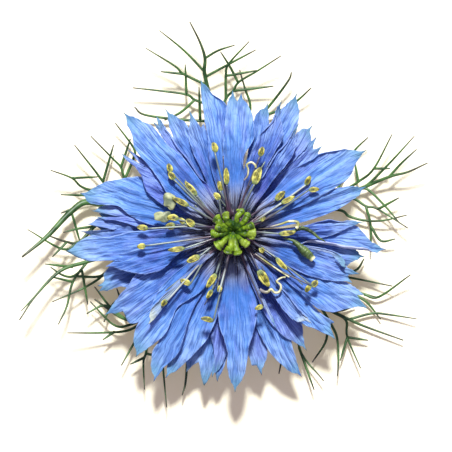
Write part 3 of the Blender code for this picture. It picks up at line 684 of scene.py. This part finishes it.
LILAC_BACK = (0.56, 0.6, 0.78)  # undersides of the lilac petals
CREAM = (0.52, 0.58, 0.46)  # faded tips
VIOLET = (0.205, 0.265, 0.735)  # blotches
PAINTED_VIOLET_SHADE = (0.06, 0.065, 0.35)  # painted violet shade near the claws
TEAL = (0.09, 0.26, 0.35)  # near the tips
TIP_GREEN = (0.035, 0.1, 0.085)  # the very tips
MAROON = (0.045, 0.018, 0.036)  # feet and veins of the claws
CLAW_BLUE = (0.16, 0.215, 0.38)  # claws
CLAW_LILAC = (0.38, 0.42, 0.55)  # streaks on the claws


VEIN_SWAY = 0.035  # how far the veins stray from straight lines
GLOW_SHARE = 0.13  # how much of the light that meets a petal passes through it
GLOW_BLUE = (0.08, 0.22, 0.85)
PETAL_RELIEF = 0.00022  # metres


def petal_material(kind, seed, azimuth):
    """Fine veins fan out from behind the claw, whose azimuth the petal's own map doesn't know."""
    outer, inner, vein = PETAL_BLUES[kind]
    n = Nodes(f"petal_{kind}_{seed}")
    raw, y = n.map()  # on the upper face raw runs from 0 to 1, on the back from 2 to 3
    x = n.math("FRACT", raw)
    back = n.step(raw, 1.4, 1.6)
    margin = n.times(n.from_half(x), 2)
    sway = n.times(n.math("SUBTRACT", n.spots(300), 0.5), VEIN_SWAY)
    across = n.plus(n.fan(azimuth), sway)

    def pattern(value, density, length, change, **settings):
        """Noise with so much change across the petal and along it."""
        return n.noise(n.times(value, density), n.times(y, length), seed * change, **settings)

    veins = pattern(across, 62, 2.6, 3.7, detail=1.5)
    fine = pattern(across, 190, 13, 1.3, detail=3.0, roughness=0.65)
    blotch = pattern(x, 2.6, 3.2, 5.1)
    bloom = pattern(x, 1.7, 4, 2.3, detail=3.0)
    folds = pattern(across, 17, 1.4, 7.7, detail=1.0)
    crinkle = n.spots(1500, 3)
    thin = n.step(n.from_half(veins), 0.012, 0.05, 1, 0)
    # painted shade along the creases of the folds
    painted_crease_shade = n.step(n.from_half(folds), 0, 0.03, 0.55, 0)

    # broad areas: the petal's blues and violet blotches, painted highlight patches outwards and painted
    # violet shade inwards
    body = n.mix(n.step(y, 0.32, 0.8), inner, outer)
    body = n.mix(n.step(blotch, 0.52, 0.72, 0, 0.55), body, VIOLET)
    outward, inward = n.step(y, 0.4, 0.8), n.step(y, 0.75, 0.35)
    # painted highlight in patches over the outer half
    body = n.mix(n.times(n.step(bloom, 0.45, 0.65, 0, 0.8), outward), body, PALE_RIDGE_AND_HIGHLIGHT)
    # painted violet shade in patches towards the claws
    body = n.mix(n.times(n.step(bloom, 0.5, 0.36, 0, 0.55), inward), body, PAINTED_VIOLET_SHADE)
    # light ridges, dark veins and crinkles
    strength = n.step(y, 0.25, 0.7, 0.3, 1)
    body = n.mix(n.times(n.step(veins, 0.56, 0.72, 0, 0.5), strength), body, PALE_RIDGE_AND_HIGHLIGHT)
    body = n.mix(n.times(n.step(fine, 0.52, 0.64, 0, 0.5), strength), body, PALE_RIDGE_AND_HIGHLIGHT)
    body = n.mix(n.step(fine, 0.46, 0.3, 0, 0.45), body, vein)
    body = n.mix(n.times(thin, n.step(y, 0.2, 0.75, 0.25, 0.8)), body, vein)
    body = n.mix(n.step(crinkle, 0.42, 0.3, 0, 0.25), body, vein)
    # the outer end, a painted highlight along the margins, and the tip
    body = n.mix(n.step(y, 0.62, 0.92, 0, 0.3), body, PALE_END)
    # painted highlight along the margins, over the outer part
    rim_highlight = n.times(n.step(margin, 0.93, 0.985), n.step(y, 0.25, 0.5, 0, 0.6))
    body = n.mix(rim_highlight, body, PAINTED_RIM_HIGHLIGHT)
    if kind in ("cream", "husk"):
        body = n.mix(n.step(y, 0.84, 0.95, 0, 0.85 if kind == "husk" else 0.6), body, CREAM)
    else:
        body = n.mix(n.step(y, 0.82, 0.96, 0, 0.7), body, TEAL)
        body = n.mix(n.step(y, 0.965, 1, 0, 0.85), body, TIP_GREEN)
    # the claw, the back and painted shade in the creases
    claw = n.mix(n.step(fine, 0.4, 0.6), CLAW_BLUE, CLAW_LILAC)
    claw = n.mix(n.step(veins, 0.36, 0.5), MAROON, claw)
    claw = n.mix(n.step(y, 0.01, 0.12), MAROON, claw)
    body = n.mix(n.step(y, 0.12, 0.33), claw, body)
    share, colour = (0.8, LILAC_BACK) if kind == "lilac" else (0.55, BACK)
    body = n.mix(n.times(back, share), body, colour)
    body = n.mix(n.times(painted_crease_shade, n.step(y, 0.2, 0.45)), body, vein)

    ridges = n.plus(n.times(veins, 1.3), n.times(fine, 0.7))
    ridges = n.plus(ridges, n.times(folds, 3))
    ridges = n.plus(ridges, n.times(crinkle, 0.35))
    glow = (GLOW_SHARE, n.mix(0.35, body, GLOW_BLUE))
    extra = {"Specular IOR Level": 0.35, "Sheen Weight": 0.1, "Sheen Roughness": 0.4}
    return n.finish(body, n.step(fine, 0.3, 0.7, 0.38, 0.55), ridges, PETAL_RELIEF, glow, **extra)


def thread_material():
    n = Nodes("leaf_thread")
    _, y = n.map()
    patch = n.spots(450)
    pale_foot, brown_tip = (0.12, 0.24, 0.08), (0.075, 0.06, 0.05)
    green = n.mix(n.step(patch, 0.38, 0.62), (0.018, 0.056, 0.012), (0.062, 0.148, 0.036))
    green = n.mix(n.step(y, 0, 0.4, 0.35, 0), green, pale_foot)
    body = n.mix(n.step(y, 0.75, 1, 0, 0.75), green, brown_tip)
    return n.finish(body, 0.42, patch, 0.00008, **{"Specular IOR Level": 0.45})


def stem_material():
    n = Nodes("stem_green")
    patch = n.spots(300, 4)
    body = n.mix(n.step(patch, 0.35, 0.65), (0.05, 0.1, 0.03), (0.1, 0.19, 0.05))
    return n.finish(body, 0.5, patch, 0.00008)


def filament_material():
    """Maroon at the foot; x says whether a filament ends dark, grey-green or nearly white. The nearly white
    is partly the filament's own pale colour and partly painted highlight.
    """
    n = Nodes("filament")
    x, y = n.map()
    patch = n.spots(700)
    dark = n.mix(n.step(y, 0.2, 0.8), (0.05, 0.02, 0.036), (0.06, 0.07, 0.105))
    grey = n.mix(n.step(y, 0.15, 0.7), (0.06, 0.025, 0.042), (0.17, 0.225, 0.19))
    # nearly white: partly pale colour, partly painted highlight
    pale = n.mix(n.step(y, 0.15, 0.7), (0.11, 0.06, 0.085), (0.4, 0.455, 0.42))
    body = n.mix(n.step(x, 0.25, 0.4), dark, grey)
    body = n.mix(n.step(x, 0.65, 0.8), body, pale)
    purple = (0.06, 0.035, 0.07)
    body = n.mix(n.step(patch, 0.45, 0.65, 0, 0.35), body, purple)
    return n.finish(body, 0.34, patch, 0.00001, **{"Specular IOR Level": 0.7})


def anther_material():
    n = Nodes("anther")
    x, y = n.map()
    patch = n.spots(1100, 3)
    yellow = n.mix(n.step(patch, 0.42, 0.56), (0.25, 0.23, 0.028), (0.6, 0.57, 0.13))
    olive = n.mix(n.step(patch, 0.42, 0.6), (0.06, 0.062, 0.01), (0.36, 0.325, 0.045))
    green_foot, dark_tip = (0.19, 0.26, 0.09), (0.05, 0.075, 0.02)
    body = n.mix(n.step(x, 0.3, 0.75), yellow, olive)
    body = n.mix(n.step(y, 0.35, 0), body, green_foot)
    body = n.mix(n.step(y, 0.86, 1, 0, 0.6), body, dark_tip)
    return n.finish(body, 0.5, patch, 0.0001)


def cream_material():
    n = Nodes("cream")
    _, y = n.map()
    patch = n.spots(900, 3)
    pale = n.mix(n.step(patch, 0.38, 0.62), (0.28, 0.28, 0.08), (0.66, 0.64, 0.38))
    grey_foot = (0.2, 0.18, 0.19)
    body = n.mix(n.step(y, 0, 0.35), grey_foot, pale)
    return n.finish(body, 0.35, patch, 0.0001, **{"Specular IOR Level": 0.6})


def pod_material():
    n = Nodes("pod")
    x, y = n.map()
    patch = n.spots(700, 3)
    green = n.mix(n.step(patch, 0.35, 0.62), (0.018, 0.04, 0.01), (0.11, 0.17, 0.04))
    frayed = n.times(n.step(y, 0.9, 0.97), n.step(x, 0.5, 0.4))  # the end of the first one only
    straw = (0.64, 0.62, 0.33)
    body = n.mix(frayed, green, straw)
    return n.finish(body, 0.45, patch, 0.0003)


def husk_material():
    n = Nodes("husk")
    patch = n.spots(600, 4)
    body = n.mix(n.step(patch, 0.4, 0.6), (0.11, 0.14, 0.08), (0.35, 0.38, 0.19))
    return n.finish(body, 0.5, patch, 0.00025)


def pistil_material():
    n = Nodes("pistil")
    _, y = n.map()
    patch = n.spots(1100, 4)
    broad = n.spots(350, 1)
    # darker towards the foot: partly the pistil's own dark green, partly painted shade between the styles
    low = n.mix(n.step(patch, 0.35, 0.65), (0.006, 0.03, 0.003), (0.03, 0.105, 0.008))
    high = n.mix(n.step(patch, 0.36, 0.6), (0.022, 0.065, 0.002), (0.15, 0.255, 0.006))
    lime = (0.31, 0.41, 0.04)
    high = n.mix(n.step(broad, 0.5, 0.68, 0, 0.6), high, lime)
    body = n.mix(n.step(y, 0.2, 0.62), low, high)
    return n.finish(body, 0.42, patch, 0.0003, **{"Specular IOR Level": 0.4})


# ---- petals

BLADE_ROWS = 56
BLADE_COLUMNS = 41
BLADE_THICKNESS = 0.2
TIP_HALF_WIDTH = 0.03  # of a blade with one tooth
TIP_LENGTH = 1.1  # how far below its tooth a margin turns in
JAG = 0.055  # depth of the small jags in the outer margins
BROAD_RELIEF = 0.024
FAN_SPREAD = 24.0  # turns the fan's slope into something like millimetres across the blade
# Waves of a blade's relief, in millimetres: along the veins, all over it, and along its margins
VEIN_WAVES, BROAD_WAVES, FRILL_WAVES = (3.1, 1.9, 1.2, 0.8), (4.1, 2.6, 1.7), (2.9, 1.7)


def level_height(level, reach):
    """Height of a petal level at a distance from the middle of the flower."""
    share = (reach - CLAW_START) / (FULL_REACH - CLAW_START)
    root = LEVEL_ROOT + LEVEL_STEP_ROOT * level
    slope = LEVEL_STEP_GAIN * level - LEVEL_FALL
    near_pistil = np.exp(-(((reach - 6) / 2.6) ** 2)) * smooth_step(reach, CLAW_START, 4.4)
    shoulder = SHOULDER * (level / 6) * near_pistil
    lift = OUTER_LIFT * max(1 - level / 5, 0) * smooth_step(share, 0.25, 0.7)
    return root + slope * share + ARCH * np.sin(math.pi * np.minimum(share, 1)) + shoulder + lift


def resample(line, count):
    """The same line with its points evenly spaced."""
    line = np.asarray(line, float)
    length = np.concatenate([[0], np.cumsum(np.linalg.norm(np.diff(line, axis=0), axis=1))])
    at = np.linspace(0, length[-1], count)
    return np.stack([np.interp(at, length, line[:, k]) for k in range(line.shape[1])], -1)


def ripple(along, aside, waves, stretch):
    """A relief of a few random waves. They run lengthwise where stretch is large."""
    relief = np.zeros(np.broadcast(along, aside).shape)
    for length in waves:
        k = 2 * math.pi / length
        lean = RANDOM.uniform(-1, 1) / stretch
        bend = RANDOM.uniform(0.1, 0.3)
        phase, slow = RANDOM.uniform(0, 2 * math.pi, 2)
        relief += length * np.sin(k * (aside + lean * along) + phase + 0.7 * np.sin(bend * along + slow))
    return relief


def curled(middle, height, side, start, end, width, turn, share):
    """Rolls one margin up and back over the blade between two shares of its length."""
    sign = 1.0 if side == "left" else -1.0
    across = middle[:, :1] - middle[:, -1:]
    local = np.linalg.norm(across, axis=2, keepdims=True)
    outward = sign * across / np.maximum(local, 1e-6)
    offset = np.linspace(0, 1, middle.shape[1])[None, :] * local[..., 0]
    from_edge = offset if side == "left" else local[..., 0] - offset
    width = np.minimum(width, 0.4 * local[..., 0])
    window = smooth_step(share, start, start + 0.15) * (1 - smooth_step(share, end - 0.12, end))
    inside = np.clip(width - from_edge, 0, None)
    angle = np.maximum(math.radians(turn) * window, 1e-3)
    radius = np.maximum(width, 1e-6) / angle
    rolled = radius * np.sin(inside / radius)
    lift = radius * (1 - np.cos(inside / radius))
    return middle + outward * (rolled - inside)[..., None], height + lift


def outline(azimuth, left, teeth, right):
    """Margins from the claw to the outer teeth and the line over the teeth, as (along, aside)."""
    def local(points):
        found = []
        for point_azimuth, reach in points:
            turn = math.radians(point_azimuth - azimuth)
            found.append((reach * math.cos(turn), reach * math.sin(turn)))
        return found

    crown = local(teeth)
    margins = []
    for side, points, tip in ((1, left, crown[0]), (-1, right, crown[-1])):
        points = local(points)
        claw = (CLAW_START, side * CLAW_HALF_WIDTH)
        (x0, y0), (x1, y1) = claw, points[0]
        neck = [(x0 + (x1 - x0) * a, y0 + (y1 - y0) * b) for a, b in ((0.28, 0.26), (0.62, 0.74))]
        (x2, y2), (x3, y3) = points[-1], tip
        away = TIP_LENGTH / math.hypot(x3 - x2, y3 - y2)
        point = (x3 + (x2 - x3) * away, y3 + (y2 - y3) * away * 0.55)
        end = (x3, y3 + side * TIP_HALF_WIDTH)
        line = resample(curve_through([claw, *neck, *points, point, end], 6), BLADE_ROWS)
        share = np.linspace(0, 1, BLADE_ROWS)
        jags = JAG * np.sin(71 * share + 9 * np.sin(13 * share + y3)) * smooth_step(share, 0.45, 0.7)
        line[:, 1] += jags * (1 - smooth_step(share, 0.9, 1))
        margins.append(line)
    if len(crown) == 1:
        (x, y), = crown
        crown = [(x, y + TIP_HALF_WIDTH), (x, y - TIP_HALF_WIDTH)]
    return margins[0], resample(crown, BLADE_COLUMNS), margins[1]


def blade(build, level, azimuth, left, teeth, right, curls):
    """Fills the outline with a rippled sheet, curls its margins and gives it its thickness."""
    left, crown, right = outline(azimuth, left, teeth, right)
    u = np.linspace(0, 1, BLADE_COLUMNS)[None, :]
    share = np.linspace(0, 1, BLADE_ROWS)[:, None]
    flat = (1 - u[..., None]) * left[:, None] + u[..., None] * right[:, None]
    notches = crown - ((1 - u.T) * crown[:1] + u.T * crown[-1:])
    flat = flat + share[..., None] ** 2.2 * notches[None]
    along, aside = flat[..., 0], flat[..., 1]
    w = 2 * u - 1
    local = np.linalg.norm(left - right, axis=1)[:, None]
    grown = smooth_step(share, 0.08, 0.55) * np.minimum(local / 3, 1)
    fan = FAN_SPREAD * aside / (along + FAN_DEPTH)
    relief = (0.034 if level < 5 else 0.026) * ripple(along, fan, VEIN_WAVES, 40)
    relief = relief + BROAD_RELIEF * ripple(along, aside, BROAD_WAVES, 1.2)
    frill = 0.05 * ripple(aside * 0.3, along, FRILL_WAVES, 2) * np.abs(w) ** 2
    keel = -0.16 * np.exp(-((w / 0.12) ** 2)) * smooth_step(share, 0.1, 0.4)
    rim = CUP * np.abs(w) ** 5
    height = level_height(level, np.hypot(along, aside)) + grown * (relief + frill + keel + rim)
    tip_lift = RANDOM.uniform(-0.2, 0.7)
    height = height + tip_lift * smooth_step(share, 0.86, 1) ** 2
    for side, start, end, width, turn in curls:
        flat, height = curled(flat, height, side, start, end, width, turn, share)
    turn = math.radians(azimuth)
    middle = np.stack([
        flat[..., 0] * math.cos(turn) - flat[..., 1] * math.sin(turn),
        flat[..., 0] * math.sin(turn) + flat[..., 1] * math.cos(turn),
        height,
    ], -1)
    normal = np.cross(np.gradient(middle, axis=1), np.gradient(middle, axis=0))
    normal /= np.linalg.norm(normal, axis=2)[..., None] + 1e-12
    normal *= np.sign(normal[:, BLADE_COLUMNS // 2, 2])[:, None, None]
    thinner = (1 - 0.6 * np.abs(w) ** 4) * (1 - 0.6 * smooth_step(share, 0.9, 1))  # at margins and tip
    half = (BLADE_THICKNESS / 2 * thinner)[..., None]
    y = (along - CLAW_START) / (along.max() - CLAW_START)
    uv = np.stack(np.broadcast_arrays(u, np.clip(y, 0, 1)), -1)
    # the back's map is two further along, so that the material can tell it from the upper face
    top = build.grid(middle + normal * half, uv)
    under = build.grid((middle - normal * half)[:, ::-1], (uv + (2, 0))[:, ::-1])[:, ::-1]
    rim_top, rim_under = (
        np.concatenate([face[0], face[1:, -1], face[-1, -2::-1], face[-2:0:-1, 0]]) for face in (top, under)
    )
    for a, b, c, d in zip(rim_top, np.roll(rim_top, -1), np.roll(rim_under, -1), rim_under):
        build.faces.append([int(a), int(b), int(c), int(d)][::-1])


def petal(node, level, azimuth, kind, left, teeth, right, curls, number):
    build = Builder()
    blade(build, level, azimuth, left, teeth, right, curls)
    piece = build.make(f"{node}_blade_{number}", petal_material(kind, number, azimuth))
    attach(piece, "root")
    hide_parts(node)


# ---- leaves

def thread_height(x, y):
    """Height of the feathery threads above the surface, the same wherever two of them meet."""
    reach = math.hypot(x, y)
    if reach < THREAD_LOW_REACH:
        share = (reach - STEM_RADIUS) / (THREAD_LOW_REACH - STEM_RADIUS)
        return THREAD_ROOT_HEIGHT + (THREAD_LOW_HEIGHT - THREAD_ROOT_HEIGHT) * share
    share = (reach - THREAD_LOW_REACH) / (THREAD_FULL_REACH - THREAD_LOW_REACH)
    lift = float(np.interp(math.degrees(math.atan2(y, x)), *zip(*THREAD_LIFTS)))
    return THREAD_LOW_HEIGHT + lift * share**THREAD_LIFT_POWER


SIDE_BRANCH = 0.72  # thickness of every other thread against the first
THREAD_TAPER = 0.55  # share of its thickness that a thread loses towards its end


def bract(name, threads, material):
    build = Builder()
    for number, thread in enumerate(threads):
        line = curve_through(thread, 6)
        line = np.array([(x, y, thread_height(x, y)) for x, y in line])
        reach = np.hypot(line[:, 0], line[:, 1])
        radii = np.interp(reach, *zip(*THREAD_WIDTHS))
        t = np.linspace(0, 1, len(line))
        radii = radii * (1 - THREAD_TAPER * t**3)
        if number:
            radii = radii * SIDE_BRANCH
        radii = radii * STALKS.get(name, {}).get(number, 1)
        sweep(build, line, radii, sides=7, shade=RANDOM.uniform(0, 1))
    piece = build.make(name + "_threads", material)
    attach(piece, "root")
    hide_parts(name)


# ---- stamens and pistil

COLLAR_RADIUS, COLLAR_HEIGHT, COLLAR_THICKNESS = 2.62, 10.65, 0.33
BUNDLE_ANGLE = 24.0  # between the bundles that the filaments spring from
FILAMENT, BARE_FILAMENT, SHORT_FILAMENT = 0.22, 0.17, 0.24  # radii at the foot
SAC_OFFSET = 0.235  # of a pollen sac from the anther's middle, for an anther of width 1
OVARY = (
    (0, 10), (2, 10.05), (2.2, 10.6), (2.3, 11.6), (2.1, 12.7), (1.6, 13.5), (0.9, 14), (0, 14.1),
)
STUB = (
    (0, 0), (1.16, 0), (1.2, 0.06), (1.2, 2.6), (1.35, 3.1), (2.1, 3.8),
    (2.33, 4.4), (2.3, 6.5), (2.33, 9.5), (2.2, 9.75), (0, 9.8),
)
STYLE_RADIUS = 0.42


def anther(build, x, y, height, heading, length, bend, width, tilt, shade):
    """Four pollen sacs side by side on a spine that bends in plan."""
    t = np.linspace(0, 1, 13)
    turns = np.radians(heading + bend * (t - 0.5))
    step = np.stack([np.cos(turns), np.sin(turns)], -1) * 1.08 * length / (len(t) - 1)
    spine = np.cumsum(step, axis=0)
    spine += np.array((x, y)) - spine.mean(0)
    side = np.stack([-np.sin(turns), np.cos(turns)], -1)
    swell = np.clip(np.sin(math.pi * np.clip(t, 0.02, 0.985) ** 0.8), 0, 1) ** 0.6
    for sac in (-1.5, -0.5, 0.5, 1.5):
        offset = SAC_OFFSET * width * sac * swell
        lift = height + tilt * (t - 0.5) * length - 0.09 * abs(sac)
        line = np.column_stack([spine + side * offset[:, None], lift])
        radii = (0.03 + 0.135 * width * swell) * (1 + 0.1 * np.sin(19 * t + 5 * sac + heading))
        sweep(build, line, radii, sides=8, shade=shade + (0.55 if abs(sac) < 1 else 0))
    return spine[0]


def blob(build, centre, radii, waves, along=0.0):
    """A crumpled rounded lump, all at one place of its piece's map."""
    latitude = np.linspace(-math.pi / 2, math.pi / 2, 22)[:, None]
    longitude = np.linspace(0, 2 * math.pi, 36, endpoint=False)[None, :]
    form = np.stack(np.broadcast_arrays(
        np.cos(latitude) * np.cos(longitude), np.cos(latitude) * np.sin(longitude), np.sin(latitude),
    ), -1)
    crumple = 1.0
    for _ in range(waves):
        crumple = crumple + 0.09 * np.sin(form @ RANDOM.uniform(-5, 5, 3) + RANDOM.uniform(0, 6))[..., None]
    points = np.array(centre) + form * crumple * np.array(radii)
    build.grid(points, np.full((*points.shape[:2], 2), along), wrap=True)


def stamen_piece(build, name, material):
    piece = build.make(name, material)
    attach(piece, "root")
    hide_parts("stamens")


def filament(build, start_azimuth, end, thick, shade):
    """From the collar under the pistil up and out to the end."""
    reach = math.hypot(end[0], end[1])
    azimuth = math.degrees(math.atan2(end[1], end[0]))
    points = [
        (*polar(start_azimuth, 2.65), 10.8),
        (*polar(start_azimuth, 3.3), min(11.7, end[2])),
        (*polar((start_azimuth + azimuth) / 2, 2.2 + reach * 0.35), end[2] - 0.45),
        tuple(end),
    ]
    line = curve_through(points, 9)
    t = np.linspace(0, 1, len(line))
    sweep(build, line, thick * (1 - 0.35 * t), sides=8, shade=shade)


def stamens():
    filaments, anthers, hooks, pod, husks = (Builder() for _ in range(5))
    collar = [(*polar(a, COLLAR_RADIUS), COLLAR_HEIGHT) for a in np.linspace(0, 360, 49)]
    sweep(filaments, collar, COLLAR_THICKNESS, sides=8, shade=0.0)
    for number, (x, y, heading, length, bend, width) in enumerate(read_numbers(ANTHERS)):
        azimuth = math.degrees(math.atan2(y, x))
        height = ANTHER_HEIGHT + 0.3 * math.sin(2.4 * number)
        tilt = RANDOM.uniform(-0.15, 0.1)
        foot = anther(anthers, x, y, height, heading, length, bend, width, tilt, RANDOM.uniform(0, 0.4))
        end = (foot[0], foot[1], height - tilt * length / 2)
        start = BUNDLE_ANGLE * round(azimuth / BUNDLE_ANGLE) + RANDOM.uniform(-5, 5)
        filament(filaments, start, end, FILAMENT, RANDOM.choice((0.1, 0.35, 0.55, 0.55, 0.9)))
        # a darker one beside every second of the outer ones, whose anther has fallen
        reach = math.hypot(x, y)
        beside = polar(azimuth + RANDOM.choice((-5, 5)), reach - RANDOM.uniform(0.5, 3))
        if reach > 6 and number % 2:
            end = (*beside, height - 0.9)
            filament(filaments, start + 4, end, BARE_FILAMENT, RANDOM.choice((0, 0.1, 0.5)))
    # short dark ones all round the pistil
    for azimuth in np.arange(3, 363, 18):
        reach = RANDOM.uniform(4, 5.4)
        start = BUNDLE_ANGLE * round(azimuth / BUNDLE_ANGLE) + RANDOM.uniform(-4, 4)
        filament(filaments, start, (*polar(azimuth, reach), 11.5), SHORT_FILAMENT, 0.1)
    for points, foot, tip in HOOKS:
        line = curve_through([(x, y, ANTHER_HEIGHT) for x, y in points], 6)
        sweep(hooks, line, np.linspace(foot, tip, len(line)), sides=10, shade=0.5)
    for shade, points in enumerate(PODS):
        line = curve_through([(x, y, ANTHER_HEIGHT - 0.6, radius) for x, y, radius in points], 6)
        radii = line[:, 3] * (1 + 0.1 * np.sin(2.3 * np.arange(len(line))))
        sweep(pod, line[:, :3], radii, sides=14, shade=shade)
    for x, y, half_length, half_width in HUSKS:
        blob(husks, (x, y, ANTHER_HEIGHT - 0.5), (half_length, half_width, 0.3), 7)
    stamen_piece(filaments, "filaments", filament_material())
    stamen_piece(anthers, "anthers", anther_material())
    stamen_piece(hooks, "hooks", cream_material())
    stamen_piece(pod, "pod", pod_material())
    stamen_piece(husks, "husks", husk_material())


def pistil():
    build = Builder()
    lathe(build, curve_through(OVARY, 4), 60, lambda a: 1 + 0.07 * np.cos(10 * a), top=0.3)
    for azimuth, radius, height, tip in STYLES:
        lean = RANDOM.uniform(-9, 9)
        points = [
            (*polar(azimuth - lean, 0.5), 13.2),
            (*polar(azimuth - lean, 1.1), 14.7),
            (*polar(azimuth + lean, (1.2 + radius) / 2), (15.0 + height) / 2 + 0.25),
            (*polar(azimuth, radius - 0.4), height + 0.1),
            (*polar(azimuth, radius + 0.25), height - 0.1),
        ]
        line = curve_through(points, 9)
        t = np.linspace(0, 1, len(line))
        radii = STYLE_RADIUS + (tip * 1.1 - STYLE_RADIUS) * smooth_step(t, 0.3, 0.85)
        warty = 1 + 0.09 * np.sin(26 * t + 3 * radius) + 0.05 * np.sin(61 * t)
        rounded = np.sqrt(np.clip(1 - smooth_step(t, 0.84, 1.02) ** 2, 0.03, 1))
        radii = radii * warty * rounded
        sweep(build, line, radii, sides=16, shade=RANDOM.uniform(0, 1))
        wart = polar(azimuth + RANDOM.uniform(-13, 13), radius - RANDOM.uniform(0.1, 0.7))
        blob(build, (*wart, height + 0.25 * tip), (0.62 * tip, 0.5 * tip, 0.55 * tip), 4, 0.8)
    for number in range(7):  # young styles in the middle
        azimuth = 51.0 * number + 20
        stations = ((0.3, 13.4), (0.8, 14.5), (1.3, 14.9))
        line = curve_through([(*polar(azimuth, reach), height) for reach, height in stations], 6)
        sweep(build, line, np.linspace(0.32, 0.26, len(line)), sides=10, shade=0.2)
    piece = build.make("pistil_styles", pistil_material())
    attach(piece, "root")
    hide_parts("pistil")


def stem():
    build = Builder()
    lathe(build, STUB, 64, lambda a: 1 - 0.035 * (1 - np.cos(12 * a)) / 2)
    piece = build.make("stem_stub", stem_material())
    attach(piece, "root")
    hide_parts("stem")


# ---- surface, light and camera

SURFACE_SIZE = 3.0  # metres from its middle to a side
SUN_ELEVATION = 53.0
SUN_STRENGTH = 5.8
SUN_SIZE = 8.0
FILL = (0.3, 0.285, 0.44)  # light from all round
FLOOR_GLOW = (0.19, 0.138, 0.045)  # lifts the surface and its shadows to the photograph's tone
WHITE_STRENGTH = 1.2  # of what the camera sees past the surface
FRAME_WIDTH = 75.3  # mm of the surface across the picture
FRAME_CENTRE = (-1.17, 1.17)
CAMERA_HEIGHT = 800.0
CAMERA_CLIP = (0.05, 5)  # metres
PETAL_PLANE = 7.0  # height at which the picture's scale is true
SENSOR = 36.0


def surface():
    n = Nodes("white_surface")
    grain = n.spots(40)
    extra = {"Emission Color": FLOOR_GLOW, "Emission Strength": 1.0}
    material = n.finish(n.mix(grain, (0.87, 0.83, 0.65), (0.9, 0.86, 0.68)), 0.8, **extra)
    mesh = bpy.data.meshes.new("surface")
    corners = [(x * SURFACE_SIZE, y * SURFACE_SIZE, 0) for x, y in ((-1, -1), (1, -1), (1, 1), (-1, 1))]
    mesh.from_pydata(corners, [], [(0, 1, 2, 3)])
    mesh.materials.append(material)
    floor = bpy.data.objects.new("surface", mesh)
    bpy.context.scene.collection.objects.link(floor)


def light():
    data = bpy.data.lights.new("sun", "SUN")
    data.energy = SUN_STRENGTH
    data.angle = math.radians(SUN_SIZE)
    sun = bpy.data.objects.new("sun", data)
    sun.rotation_euler = (math.radians(SUN_ELEVATION - 90), 0, 0)
    bpy.context.scene.collection.objects.link(sun)
    world = bpy.data.worlds.new("fill")
    world.use_nodes = True
    nodes, links = world.node_tree.nodes, world.node_tree.links
    nodes.clear()
    ray, mix, out = (nodes.new("ShaderNode" + kind) for kind in ("LightPath", "MixShader", "OutputWorld"))
    links.new(ray.outputs["Is Camera Ray"], mix.inputs[0])
    for place, colour, strength in ((1, FILL, 1), (2, (1, 1, 1), WHITE_STRENGTH)):
        background = nodes.new("ShaderNodeBackground")
        background.inputs[0].default_value = (*colour, 1)
        background.inputs[1].default_value = strength
        links.new(background.outputs[0], mix.inputs[place])
    links.new(mix.outputs[0], out.inputs[0])
    bpy.context.scene.world = world


def camera():
    data = bpy.data.cameras.new("camera")
    data.sensor_width = SENSOR
    data.lens = SENSOR * (CAMERA_HEIGHT - PETAL_PLANE) / FRAME_WIDTH
    data.clip_start, data.clip_end = CAMERA_CLIP
    eye = bpy.data.objects.new("camera", data)
    eye.location = (FRAME_CENTRE[0] * MM, FRAME_CENTRE[1] * MM, CAMERA_HEIGHT * MM)
    bpy.context.scene.collection.objects.link(eye)
    bpy.context.scene.camera = eye


for index, row in enumerate(read_petals(PETALS)):
    petal(*row, index)
leaf = thread_material()
for bract_name, bract_threads in read_bracts(BRACTS):
    bract(bract_name, bract_threads, leaf)
stamens()
pistil()
stem()
surface()
light()
camera()
bpy.context.scene.view_settings.view_transform = "Standard"
